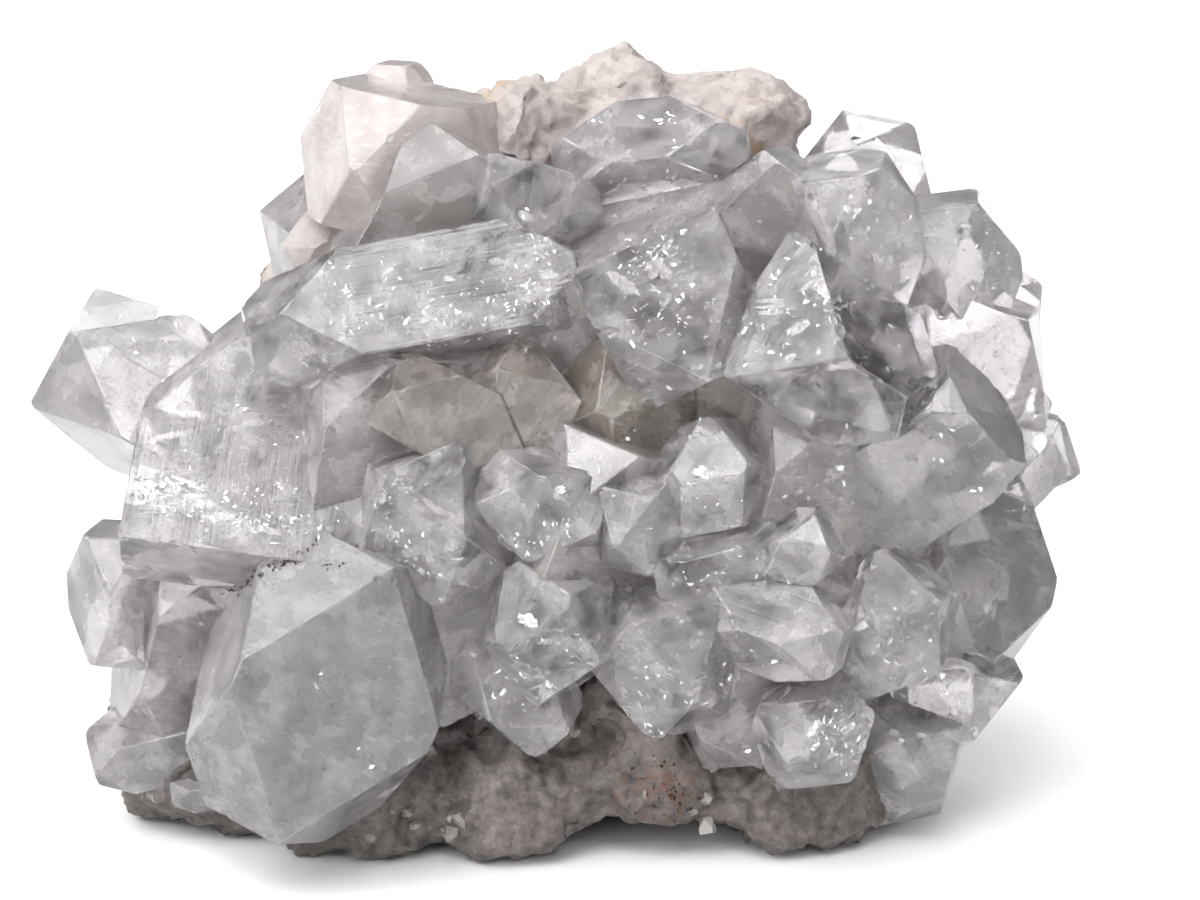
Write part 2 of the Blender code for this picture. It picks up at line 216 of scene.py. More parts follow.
# Place, roll, lean and spin in mm and degrees, half widths, then how far the base plane and the pyramid's point
# lie above and below the middle, and the look.
crystals = {
    "leftWindow": ((-38.5, -16, 48.5), 8, -40, 0, (14, 6), (18, 24.5), (15.5, 40), "block"),
    "leftFoot": ((-31, -28, 23.5), 23, -8, 15, (12.5, 8), (17.5, 27), (17.5, 27), "smooth"),
    "longUpper": ((-19.5, -19, 66.5), -98, 12, 30, (6.5, 7), (20, 25), (18, 28), "glitter"),
    "pendant": ((8.5, -22, 71), -26, -15, 0, (9, 7), (4, 24), (13.5, 22), "clear"),
    "clearBlock": ((24.5, -22, 64), 116, 34, -14, (9, 9.5), (17, 22.5), (4, 30), "window"),
    "paleRight": ((37, -17, 48), 52, 12, 10, (7.5, 7.5), (12, 26), (14, 30), "greyAndShaded"),
    "greyRight": ((44, -8, 31), 14, -30, 30, (9, 9), (9, 24), (11, 24), "greyAndShaded"),
    "lozenge": ((21, -29, 31.5), 105, 20, 45, (4.5, 4.5), (9, 14), (8, 13), "cloudy"),
    "wedge": ((35, -19, 29), 35, 10, 20, (7, 6.5), (8, 16), (9, 17), "clear"),
    "glittering": ((26, -25, 18), -15, 10, 30, (6.5, 6), (5.5, 13), (6, 14), "glitter"),
    "lowerRight": ((43.5, -10, 18), 35, 20, -10, (6.5, 6.5), (7, 16), (7, 16), "clear"),
    "rightFoot": ((38, -13.5, 10), 10, 20, -15, (6.5, 6.5), (7, 15), (7, 15), "cloudy"),
    "smallPrism": ((24.5, -28, 40.5), 60, 15, 10, (3.5, 3.5), (4, 9), (4, 9), "clear"),
    "pentagon": ((-4.5, -26, 30.5), 15, 15, 10, (7, 6.5), (8, 15), (8, 15), "clear"),
    "underPentagon": ((-9, -24, 22), -50, 0, 20, (5, 5), (8, 13), (8, 13), "cloudy"),
    "middleBlock": ((10, -24.5, 27), -8, 20, -35, (7.5, 7), (9, 18), (8, 18), "glitter"),
    "middleLeft": ((-17.5, -25, 43), -20, 5, -25, (7, 6.5), (9, 17), (8, 17), "clear"),
    "middleLeftInner": ((-5, -26, 45.5), 100, 10, 10, (5.5, 5.5), (7.5, 14), (7.5, 14), "clear"),
    "middleLeftUpper": ((-16, -23.5, 55), -60, 15, 10, (5, 5), (9, 15), (9, 15), "beige"),
    "hollowLeft": ((-6.5, -20, 54), -35, 10, 10, (5.5, 5), (9, 15), (8, 15), "beige"),
    "hollowRight": ((5, -18, 55), 30, 5, 30, (8, 7), (9, 17), (8, 17), "brown"),
    "centreSmall": ((5.5, -26.5, 43.5), 0, 15, 25, (5, 5), (5.5, 12), (5, 12), "clear"),
    "centreRight": ((14, -24.5, 47.5), 40, 10, 10, (6, 6), (6.5, 13), (6, 13), "clear"),
    "centreRow": ((14.5, -27, 38.5), 75, 0, 20, (3.5, 3.5), (8, 12), (7, 12), "glitter"),
    "topClear": ((7, -9, 82.5), 82, 10, 35, (4.5, 5), (12, 15), (11, 15), "clear"),
    "topSmall": ((-6, -15, 78), -70, 15, 20, (4, 4), (7, 12), (7, 12), "clear"),
    "topMilky": ((-22, -4, 81), 10, 0, 25, (10, 9), (8.5, 23), (8, 23), "milky"),
    "topKnob": ((-23, 4, 88), 0, 0, 20, (4.5, 4.5), (3.5, 7.2), (5, 11), "milky"),
    "topPink": ((-30.5, -4, 71), 60, 0, 30, (3.5, 3.5), (4, 9), (5, 10), "milky"),
    "topRight": ((22, -10, 77.5), 30, 10, 20, (5, 5), (5, 11), (7, 13), "clear"),
    "rightShoulder": ((30, -11, 73.5), -10, 5, 35, (6.5, 6.5), (8.5, 19), (10, 20), "clear"),
    "farRight": ((42.5, -5, 68), -8, 0, 40, (6.5, 6.5), (8.5, 17), (9, 18), "cloudy"),
    "farLeft": ((-52.5, -6, 53), -60, 0, 30, (8.5, 8.5), (12, 22), (12, 22), "cloudy"),
    "leftMiddle": ((-55, -16, 31), 0, 0, 35, (5, 5.5), (8, 15), (8, 15), "cloudy"),
    "leftLow": ((-51.5, -16, 12.5), 75, 0, 25, (4, 4), (9, 14), (8, 14), "cloudy"),
    "leftChip": ((-46, -18, 7.5), 80, 0, 25, (2, 2.5), (4, 7), (4, 7), "cloudy"),
    "rightEdgeUpper": ((50.5, -6, 53), -45, 10, 10, (3, 3), (6, 9), (5, 9), "clear"),
    "rightEdgeLower": ((53, -7, 45), 10, 10, 30, (3.5, 3.5), (5, 9), (5, 9), "clear"),
    "rightEdgeTip": ((56.5, -2, 45), -20, 0, 20, (2, 2), (4, 8), (4, 8), "cloudy"),
    "innerLeft": ((-22, -16, 50), 10, 10, 20, (12, 8), (14, 30), (14, 30), "inner"),
    "innerLowLeft": ((-14, -18, 30), -25, 5, 10, (11, 8), (12, 30), (9, 30), "inner"),
    "innerCentre": ((2, -18, 40), 20, 0, 30, (12, 9), (12, 30), (12, 30), "inner"),
    "innerLowRight": ((20, -17, 25), -20, 5, 15, (12, 9), (10, 30), (10, 30), "inner"),
    "innerRight": ((27, -15, 43), 15, 5, 25, (12, 9), (14, 32), (14, 32), "inner"),
    "innerUpper": ((6, -11, 66), 70, 0, 20, (11, 9), (22, 34), (22, 34), "inner"),
    "innerHollow": ((12, -14, 56), 20, 0, 10, (9, 8), (12, 24), (12, 24), "beige"),
    "innerTopLeft": ((-20, -8, 72), 30, 0, 15, (9, 8), (14, 26), (14, 26), "inner"),
    "innerLeftLow": ((-46, -12, 24), 15, 0, 20, (9, 8), (12, 26), (12, 26), "inner"),
    "innerFarRight": ((42, -5, 52), 20, 0, 30, (9, 8), (14, 26), (14, 26), "inner"),
    "sideRightUpper": ((48, 8, 58), 40, -20, 15, (6, 6), (8, 16), (8, 16), "clear"),
    "sideRightMiddle": ((50, 9, 40), 70, -30, 20, (5.5, 5), (8, 14), (8, 14), "cloudy"),
    "sideRightLow": ((44, 8, 22), 55, -20, 35, (6, 6), (8, 15), (8, 15), "clear"),
    "sideLeftUpper": ((-52, 8, 48), -50, -20, 20, (6, 6), (9, 16), (8, 16), "clear"),
    "sideLeftLow": ((-51, -2, 24), -70, -15, 25, (6, 6), (8, 16), (8, 16), "cloudy"),
    "backRight": ((33, 5, 75), 25, -40, 20, (6.5, 6), (9, 17), (9, 17), "clear"),
    "backLeft": ((-31, 4, 68), -30, -40, 30, (6.5, 7), (9, 17), (10, 17), "cloudy"),
}

crystalShape = {
    "longest": 2.6,  # mm, the longest edge of the finished mesh
    "edgeWear": (0.06, 0.30),  # mm, how wide the worn strip of an edge is
    "cornerWear": (0.2, 0.9),  # mm, how wide a worn corner is
    "wearTilt": 0.03,  # how unevenly an edge is worn along its length
    "cornerTilt": 0.05,  # how unevenly a corner is worn
    "cornerDeepest": 0.5,  # mm
    "stepHeight": 0.05,  # mm, the growth steps on the faces
    "stepWidth": 3.2,  # mm
    "prismSteps": (1.6, 0.35),  # how much narrower across and longer along a prism face they are
    "stepLevels": 2.2,
    "notches": 0.05,  # chips in a mm of edge
    "notchSize": (0.35, 1.3),  # mm
    "toneSpread": 0.14,  # how much lighter or darker than its look a crystal is
    "seed": 7,
}


def crystalPlace(row):
    place, roll, lean, spin = row[:4]
    turn = Matrix.Rotation(math.radians(roll), 4, "Y")
    turn @= Matrix.Rotation(math.radians(lean), 4, "X")
    turn @= Matrix.Rotation(math.radians(spin), 4, "Z")
    return Matrix.Translation(Vector(place) + layoutShift) @ turn


def crystalBlank(row, shrink=0.0):
    # the sharp, perfect form, in the crystal's own axes, in mm, with every face moved inwards by shrink
    halfX, halfY = (half - shrink for half in row[4])
    pointShrink = shrink / math.cos(pyramidAngle)
    top, foot = ((end[0] - shrink, end[1] - pointShrink) for end in (row[5], row[6]))
    bm = bmesh.new()
    size = (2 * halfX, 2 * halfY, top[0] + foot[0], 1)
    block = Matrix.Translation((0, 0, (top[0] - foot[0]) / 2)) @ Matrix.Diagonal(size)
    bmesh.ops.create_cube(bm, size=1, matrix=block)
    for end, pointHeight in ((1, top[1]), (-1, foot[1])):
        for quarter in range(4):
            around = math.radians(45 + 90 * quarter)
            outward = Vector((math.cos(around), math.sin(around), 0)) * math.sin(pyramidAngle)
            normal = outward + Vector((0, 0, end * math.cos(pyramidAngle)))
            cutAndClose(bm, (0, 0, end * pointHeight), normal)
    bmesh.ops.recalc_face_normals(bm, faces=bm.faces[:])
    return bm


def wearEdges(bm, chance):
    # every edge and corner loses a little, unevenly along its length; the form stays convex
    cuts = []
    for edge in bm.edges:
        normal = (edge.link_faces[0].normal + edge.link_faces[1].normal).normalized()
        along = (edge.verts[1].co - edge.verts[0].co).normalized()
        tilt = chance.uniform(-1, 1) * crystalShape["wearTilt"] / max(edge.calc_length() * 0.2, 1)
        bend = edge.link_faces[0].normal.angle(edge.link_faces[1].normal)
        depth = chance.uniform(*crystalShape["edgeWear"]) * math.tan(bend / 2) / 2
        middle = (edge.verts[0].co + edge.verts[1].co) / 2
        cuts.append((middle - normal * depth, (normal + along * tilt).normalized()))
    for vert in bm.verts:
        normal = sum((face.normal for face in vert.link_faces), Vector()).normalized()
        slope = min(max(normal.angle(face.normal), 0.05) for face in vert.link_faces)
        depth = chance.uniform(*crystalShape["cornerWear"]) * math.tan(slope) / 2
        normal = (normal + randomVector((crystalShape["cornerTilt"],) * 3, chance)).normalized()
        cuts.append((vert.co - normal * min(depth, crystalShape["cornerDeepest"]), normal))
    for point, normal in cuts:
        geometry = bm.verts[:] + bm.edges[:] + bm.faces[:]
        bmesh.ops.bisect_plane(bm, geom=geometry, plane_co=point, plane_no=normal, clear_outer=True)
        rim = [edge for edge in bm.edges if edge.is_boundary]
        if rim:
            bmesh.ops.contextual_create(bm, geom=rim)
    corners = [vert.co.copy() for vert in bm.verts]
    bm.clear()
    for corner in corners:
        bm.verts.new(corner)
    bmesh.ops.remove_doubles(bm, verts=bm.verts[:], dist=0.003)
    bmesh.ops.convex_hull(bm, input=bm.verts[:])
    loose = [vert for vert in bm.verts if not vert.link_faces]
    bmesh.ops.delete(bm, geom=loose, context="VERTS")
    bmesh.ops.recalc_face_normals(bm, faces=bm.faces[:])
    bm.normal_update()


def faceKind(normal):
    # 0 for a prism face, 0.5 for a pyramid face and 1 for the base plane
    return 1.0 if abs(normal.z) > 0.9 else 0.5 if abs(normal.z) > 0.25 else 0.0


def isWorn(normal):
    # an edge's worn strip or a chip doesn't lie along any face of the perfect form
    pyramid = Vector((math.sin(pyramidAngle) * math.sqrt(0.5),) * 2 + (math.cos(pyramidAngle),))
    size = Vector(abs(part) for part in normal)
    return max(*size, size.dot(pyramid)) < math.cos(math.radians(2.5))


def growthSteps(mesh):
    # growth steps and striations sink the faces a little, and leave their edges where they are
    bm = openMesh(mesh)
    refine(bm, crystalShape["longest"] * mm)
    bm.normal_update()
    faceMap = bm.loops.layers.uv["faceMap"]
    kindLayer = bm.faces.layers.float["kind"]
    height, width = crystalShape["stepHeight"] * mm, crystalShape["stepWidth"]
    moves = []
    for vert in bm.verts:
        normals = [face.normal for face in vert.link_faces]
        if any(normals[0].dot(other) < 0.999 for other in normals[1:]):
            continue
        loop = vert.link_loops[0]
        across, along = loop[faceMap].uv / width
        if loop.face[kindLayer] == 0.0:
            narrow, long = crystalShape["prismSteps"]
            sample = Vector((across * narrow, along * long, 0))
        else:
            sample = Vector((across, along, 7))
        level = noise.noise(sample) * crystalShape["stepLevels"]
        stepped = math.floor(level) + min((level - math.floor(level)) * 3, 1)
        moves.append((vert, normals[0] * height * (min(stepped, 0.6) - 1.0) * 0.5))
    for vert, move in moves:
        vert.co += move
    closeMesh(bm, mesh)


def notchCutters(bm, chance):
    # small shell-shaped chips broken out of the edges
    cutters = []
    for edge in bm.edges:
        expected = edge.calc_length() * crystalShape["notches"]
        count = int(expected) + (chance.random() < expected - int(expected))
        for _ in range(count):
            at = edge.verts[0].co.lerp(edge.verts[1].co, chance.random())
            normal = (edge.link_faces[0].normal + edge.link_faces[1].normal).normalized()
            size = chance.uniform(*crystalShape["notchSize"])
            cutter = bmesh.new()
            bmesh.ops.create_icosphere(cutter, subdivisions=2, radius=1)
            turn = Matrix.Rotation(chance.uniform(0, fullTurn), 4, randomVector((1, 1, 1), chance))
            stretch = Matrix.Diagonal((size * chance.uniform(0.8, 1.7), size, size * chance.uniform(0.6, 1), 1))
            centre = at + normal * size * chance.uniform(0.35, 0.75)
            for vert in cutter.verts:
                vert.co *= 1 + 0.25 * noise.noise(vert.co * 1.7 + Vector((size * 9, 0, 0)))
            cutter.transform(Matrix.Translation(centre) @ turn @ stretch)
            cutters.append(meshFrom(cutter, "notch"))
    return cutters


def writeFaces(mesh, row, tone):
    # the face map runs along and across the crystal's axis in mm, and the face values carry its look
    look = crystalLooks[row[7]]
    bm = openMesh(mesh)
    bmesh.ops.triangulate(bm, faces=bm.faces[:])
    bm.normal_update()
    uvLayer = bm.loops.layers.uv.new("faceMap")
    layers = {key: bm.faces.layers.float.new(key) for key in ("milk", "frost", "warmth", "tone", "kind", "worn")}
    for face in bm.faces:
        normal = face.normal
        kind = faceKind(normal)
        across = Vector((0, 0, 1)).cross(normal) if kind < 1 else Vector((1, 0, 0))
        across = across.normalized() if across.length > 1e-6 else Vector((1, 0, 0))
        along = normal.cross(across).normalized()
        for loop in face.loops:
            loop[uvLayer].uv = (loop.vert.co.dot(across) + tone * 50, loop.vert.co.dot(along))
        face[layers["milk"]] = look["milk"]
        face[layers["frost"]] = look["frost"]
        face[layers["warmth"]] = look["warmth"]
        face[layers["tone"]] = tone
        face[layers["kind"]] = kind
        face[layers["worn"]] = float(isWorn(normal))
    bm.transform(Matrix.Scale(mm, 4) @ crystalPlace(row))
    closeMesh(bm, mesh)


def isClosed(mesh):
    bm = openMesh(mesh)
    closed = all(edge.is_manifold for edge in bm.edges)
    bm.free()
    return closed


def buildCrystal(name, row, chance):
    bm = crystalBlank(row)
    bm.normal_update()
    cutters = notchCutters(bm, chance) if row[7] != "inner" else []
    wearEdges(bm, chance)
    mesh = meshFrom(bm, name)
    if not isClosed(mesh):
        raise RuntimeError(name + " is open")
    if cutters:
        mesh = combineSolids(name, mesh, cutters, "DIFFERENCE")
    spread = crystalShape["toneSpread"]
    writeFaces(mesh, row, crystalLooks[row[7]]["shade"] + chance.uniform(-spread, spread))
    return mesh


def sharpen(mesh, degrees):
    mesh.shade_smooth()
    mesh.set_sharp_from_angle(angle=math.radians(degrees))


clearMeshes, milkyMeshes = [], []
for number, (name, row) in enumerate(crystals.items()):
    chance = random.Random(crystalShape["seed"] * 1000 + number)
    (milkyMeshes if row[7] == "milky" else clearMeshes).append(buildCrystal(name, row, chance))
clearMesh = combineSolids("clear_crystals", clearMeshes[0], clearMeshes[1:], "UNION")
keepLargest(clearMesh)
milkyMesh = combineSolids("milky_crystals", milkyMeshes[0], milkyMeshes[1:], "UNION")
for mesh in (clearMesh, milkyMesh):
    growthSteps(mesh)
    sharpen(mesh, 12)
clearCrystals = newObject("clear_crystals", clearMesh)
milkyCrystals = newObject("milky_crystals", milkyMesh)
print("crystals", len(clearMesh.polygons), len(milkyMesh.polygons))


# The host rock's lumps: place and radii in mm, and how far its swells and knobs reach.
rockLumps = {
    "body": ((-3, 13, 42), (46, 21, 42), 4.5),
    "bodyFront": ((-2, -4, 38), (38, 15, 34), 2.5),
    "backLow": ((8, 20, 24), (33, 14, 20), 4.0),
    "backHigh": ((-14, 17, 56), (28, 16, 20), 4.0),
    "footLeft": ((-42, -4, 7), (19, 19, 15), 2.5),
    "footLeftFront": ((-26, -10, 6), (16, 17, 14), 2.0),
    "footFront": ((-8, -14, 7), (15, 14, 13), 2.0),
    "footMiddle": ((8, -13, 9), (16, 14, 12), 2.0),
    "footRight": ((25, -9, 7), (17, 18, 13), 2.5),
    "footCore": ((-6, 3, 5), (44, 18, 12), 2.5),
    "footBack": ((-4, 15, 10), (42, 20, 18), 4.0),
    "ledge": ((7, -20, 18.5), (11, 6.5, 5), 1.5),
    "crownLeft": ((-9, 3, 82), (9, 11, 9), 2.0),
    "crown": ((5, 8, 84), (11, 12, 9), 2.0),
    "crownRight": ((17, 7, 83), (11, 11, 9), 2.0),
    "crownBack": ((2, 15, 72), (28, 15, 14), 4.0),
    "cheekLeft": ((-26, 4, 68), (10, 11, 12), 2.0),
}

rockHollows = {
    "arch": ((7, -24, -1.5), (12.5, 17, 6)),
    "smallArch": ((-18, -26, -2), (5, 10, 3.4)),
}

rockShape = {
    "swellWidth": 24,  # mm
    "knobWidth": 9,  # mm
    "knobLevel": 0.55,  # how large a part of each cell stands out
    "chips": 14,  # flat breaks on each lump
    "chipDepths": (0.02, 0.2),  # as shares of its radius
    "fineness": 0.75,  # mm, the finished mesh's edge
    "grip": 0.9,  # mm, how far the rock reaches into a crystal
    # grains, rough breaks and flat facets: their width and depth in mm, and the facets' slope
    "grainWidth": 2.6,
    "grainDepth": 0.8,
    "roughWidth": 7.0,
    "roughDepth": 1.5,
    "facetWidth": 7.5,
    "facetSlope": 0.2,
    "sunk": 0.4,  # mm, how far the whole surface is set back for them
}


def rockLump(name, row, seed):
    place, radii, roughness = Vector(row[0]), Vector(row[1]), row[2]
    bm = bmesh.new()
    bmesh.ops.create_icosphere(bm, subdivisions=4 + (max(radii) > 30), radius=1)
    for vert in bm.verts:
        outward = vert.co.normalized()
        point = place + outward * radii
        swells = noise.noise(point / rockShape["swellWidth"])
        knobs = rockShape["knobLevel"] - noise.voronoi(point / rockShape["knobWidth"])[0][0]
        vert.co = point + outward * roughness * (swells + knobs)
    chance = random.Random(seed)
    for _ in range(rockShape["chips"]):
        normal = randomVector((1, 1, 1), chance).normalized()
        reach = (normal * radii).length * (1 - chance.uniform(*rockShape["chipDepths"]))
        cutAndClose(bm, place + normal * reach, normal)
    bmesh.ops.recalc_face_normals(bm, faces=bm.faces[:])
    bm.transform(Matrix.Scale(mm, 4) @ Matrix.Translation(layoutShift))
    return meshFrom(bm, name)


def hollowMesh(name, row):
    bm = bmesh.new()
    size = Matrix.Scale(mm, 4) @ Matrix.Translation(Vector(row[0]) + layoutShift) @ Matrix.Diagonal((*row[1], 1))
    bmesh.ops.create_uvsphere(bm, u_segments=32, v_segments=16, radius=1, matrix=size)
    return meshFrom(bm, name)


def roughenRock(mesh):
    # creased grains, rough breaks and flat facets, and level again where it stands on the floor
    bm = openMesh(mesh)
    bm.normal_update()
    grain, rough, facet = (rockShape[key] * mm for key in ("grainWidth", "roughWidth", "facetWidth"))
    moves = []
    for vert in bm.verts:
        point = vert.co
        cells = noise.voronoi(point / grain + Vector((5, 3, 1)))[0]
        crease = min((cells[1] - cells[0]) * 1.6, 1.0) - 1.0
        broken = noise.ridged_multi_fractal(point / rough, 0.8, 2.1, 4, 0.9, 1.6)
        fine = noise.fractal(point / (grain * 0.3), 0.6, 2.0, 2)
        centre = noise.voronoi(point / facet)[1][0]
        lean = (point / facet - centre).dot(noise.cell_vector(centre * 37.0) * 2 - Vector((1, 1, 1)))
        depth = rockShape["grainDepth"] * (crease * 0.6 + fine * 0.3) - rockShape["roughDepth"] * broken * 0.35
        depth += rockShape["facetWidth"] * rockShape["facetSlope"] * min(lean, 0.25) - rockShape["sunk"]
        moves.append(vert.normal * depth * mm)
    for vert, move in zip(bm.verts, moves):
        vert.co += move
        vert.co.z = max(vert.co.z, 0.0)
    closeMesh(bm, mesh)


def socketMesh(name, row):
    # the rock grips each crystal a little inside its faces, so that no air shows between them
    bm = crystalBlank(row, rockShape["grip"])
    bm.transform(Matrix.Scale(mm, 4) @ crystalPlace(row))
    return meshFrom(bm, name)


lumps = [rockLump(name, row, seed) for seed, (name, row) in enumerate(rockLumps.items())]
rockMesh = combineSolids("host_rock", lumps[0], lumps[1:], "UNION")
bm = openMesh(rockMesh)
cutAndClose(bm, (0, 0, 0), (0, 0, -1))
bmesh.ops.triangulate(bm, faces=bm.faces[:])
bmesh.ops.recalc_face_normals(bm, faces=bm.faces[:])
closeMesh(bm, rockMesh)
hollows = [hollowMesh(name, row) for name, row in rockHollows.items()]
sockets = [socketMesh(name, row) for name, row in crystals.items() if row[7] != "milky"]
rockMesh = combineSolids("host_rock", rockMesh, hollows + sockets, "DIFFERENCE")
hostRock = newObject("host_rock", rockMesh)
remesh = hostRock.modifiers.new("Even", "REMESH")
remesh.mode = "VOXEL"
remesh.voxel_size = rockShape["fineness"] * mm
remesh.use_smooth_shade = True
rockMesh = evaluatedMesh(hostRock, "host_rock")
hostRock.modifiers.clear()
roughenRock(rockMesh)
hostRock.data = rockMesh
print("rock", len(rockMesh.polygons))


def shardMesh(name, corners, chance, inward=(0.25, 0.7), thickness=0.04):
    # a thin, jagged, slightly bent shard, one unit across
    bm = bmesh.new()
    rim = []
    for corner in range(corners):
        angle = (corner + chance.uniform(-0.3, 0.3)) * 2 * math.pi / corners
        reach = 0.5 * (chance.uniform(0.75, 1.0) if corner % 2 else chance.uniform(*inward))
        rim.append(bm.verts.new((math.cos(angle) * reach, math.sin(angle) * reach, chance.uniform(-0.07, 0.03))))
    middle = bm.verts.new((chance.uniform(-0.1, 0.1), chance.uniform(-0.1, 0.1), 0.02))
    sheet = [bm.faces.new((rim[n], rim[(n + 1) % corners], middle)) for n in range(corners)]
    for vert in bmesh.ops.extrude_face_region(bm, geom=sheet)["geom"]:
        if isinstance(vert, bmesh.types.BMVert):
            vert.co.z += thickness
    bmesh.ops.triangulate(bm, faces=bm.faces[:])
    bmesh.ops.recalc_face_normals(bm, faces=bm.faces[:])
    return meshFrom(bm, name)


def grainMesh(name, chance):
    bm = bmesh.new()
    bmesh.ops.create_icosphere(bm, subdivisions=1, radius=0.5)
    for vert in bm.verts:
        vert.co *= chance.uniform(0.6, 1.1)
    return meshFrom(bm, name)


def smallCrystalMesh(name, chance):
    # a stubby prism one unit across with the pyramid over its edges, rooted a little below its seat
    height = chance.uniform(0.5, 1.1)
    halves = (0.5, 0.5 * chance.uniform(0.8, 1.0))
    row = (None, 0, 0, 0, halves, (height, height + chance.uniform(0.2, 0.6)), (0.5, 2.0))
    bm = crystalBlank(row)
    bmesh.ops.triangulate(bm, faces=bm.faces[:])
    return meshFrom(bm, name)


def scatterTree():
    # puts one of the shapes on each seed point, turned and sized by the point's own attributes
    tree = bpy.data.node_groups.new("scatterShapes", "GeometryNodeTree")
    kinds = {"Geometry": "Geometry", "Shapes": "Collection", "Seed": "Int", "Material": "Material"}
    for label, kind in kinds.items():
        tree.interface.new_socket(label, in_out="INPUT", socket_type="NodeSocket" + kind)
    tree.interface.new_socket("Geometry", in_out="OUTPUT", socket_type="NodeSocketGeometry")
    given = addNode(tree, "NodeGroupInput").outputs
    shapes = addNode(tree, "GeometryNodeCollectionInfo", {"Collection": given["Shapes"], "Separate Children": True,
                                                          "Reset Children": True})
    # sockets 4 and 5 are the whole-number Min and Max
    pick = addNode(tree, "FunctionNodeRandomValue", {4: 0, 5: 60, "Seed": given["Seed"]}, data_type="INT")
    turn, size = (addNode(tree, "GeometryNodeInputNamedAttribute", {"Name": label}, data_type="FLOAT_VECTOR")
                  for label in ("turn", "size"))
    rotation = addNode(tree, "FunctionNodeEulerToRotation", {0: turn})
    placed = addNode(tree, "GeometryNodeInstanceOnPoints", {
        "Points": given["Geometry"], "Instance": shapes, "Pick Instance": True, "Instance Index": pick,
        "Rotation": rotation, "Scale": size})
    real = addNode(tree, "GeometryNodeRealizeInstances", {"Geometry": placed})
    dressed = addNode(tree, "GeometryNodeSetMaterial", {"Geometry": real, "Material": given["Material"]})
    addNode(tree, "NodeGroupOutput", {0: dressed})
    return tree


def scatter(name, tree, seeds, shapes, material, seed):
    # seeds: place in m, turn as an Euler, size in m along the shape's own axes
    mesh = bpy.data.meshes.new(name + "_seeds")
    mesh.from_pydata([place for place, turn, size in seeds], [], [])
    for label, column in (("turn", 1), ("size", 2)):
        layer = mesh.attributes.new(label, "FLOAT_VECTOR", "POINT")
        layer.data.foreach_set("vector", [part for row in seeds for part in row[column]])
    home = newCollection(name + "_shapes")
    samples = [newObject(f"{name}_shape{n:02d}", shape, home) for n, shape in enumerate(shapes)]
    piece = newObject(name, mesh)
    step = piece.modifiers.new("Scatter", "NODES")
    step.node_group = tree
    values = {"Shapes": home, "Seed": seed, "Material": material}
    for item in tree.interface.items_tree:
        if item.in_out == "INPUT" and item.name in values:
            step[item.identifier] = values[item.name]
    made = evaluatedMesh(piece, name)
    piece.modifiers.clear()
    piece.data = made
    for key in [a.name for a in made.attributes if a.name in ("turn", "size")]:
        made.attributes.remove(made.attributes[key])
    for sample in samples:
        bpy.data.objects.remove(sample)
    bpy.data.collections.remove(home)
    print(name, len(seeds), len(made.polygons))
    return piece


def insideBlank(row, point, margin):
    # whether a point in the crystal's own axes, in mm, lies inside its form by the margin
    x, y, z = abs(point.x), abs(point.y), point.z
    end, reach = (row[5], z) if z > 0 else (row[6], -z)
    if x > row[4][0] - margin or y > row[4][1] - margin or reach > end[0] - margin:
        return False
    over = (x + y) * math.sqrt(0.5) * math.sin(pyramidAngle) + (reach - end[1]) * math.cos(pyramidAngle)
    return over < -margin


# Shards, glints, cracks and specks in and on the crystals
inclusionShape = {
    "patchReach": (1.8, 1.2, 0.7),  # mm, how far a group of shards spreads along the crystal's own axes
    "patchDepth": 1.3,  # mm, how deep under the faces most groups lie
    "shardSize": (0.22, 1.1),  # mm
    "shardWidth": (0.25, 0.8),  # as a share of its length
    "shardTilt": 38,  # degrees from the base plane
    "glintShare": 0.9,  # glints on the face for each shard under it
    "glintSize": (0.12, 1.6),  # mm
    "glintWidth": (0.25, 0.9),  # as a share of its length
    "glintTilt": 0.36,  # how far a glint turns from its face
    "crackDepth": (0.10, 0.22),  # mm, how deep under its face a broad crack lies
    "crackTilt": 3,  # degrees
    "specks": 0.9,  # dark specks in a cubic centimetre
    "speckSize": (0.12, 0.32),  # mm
    "seed": 23,
}

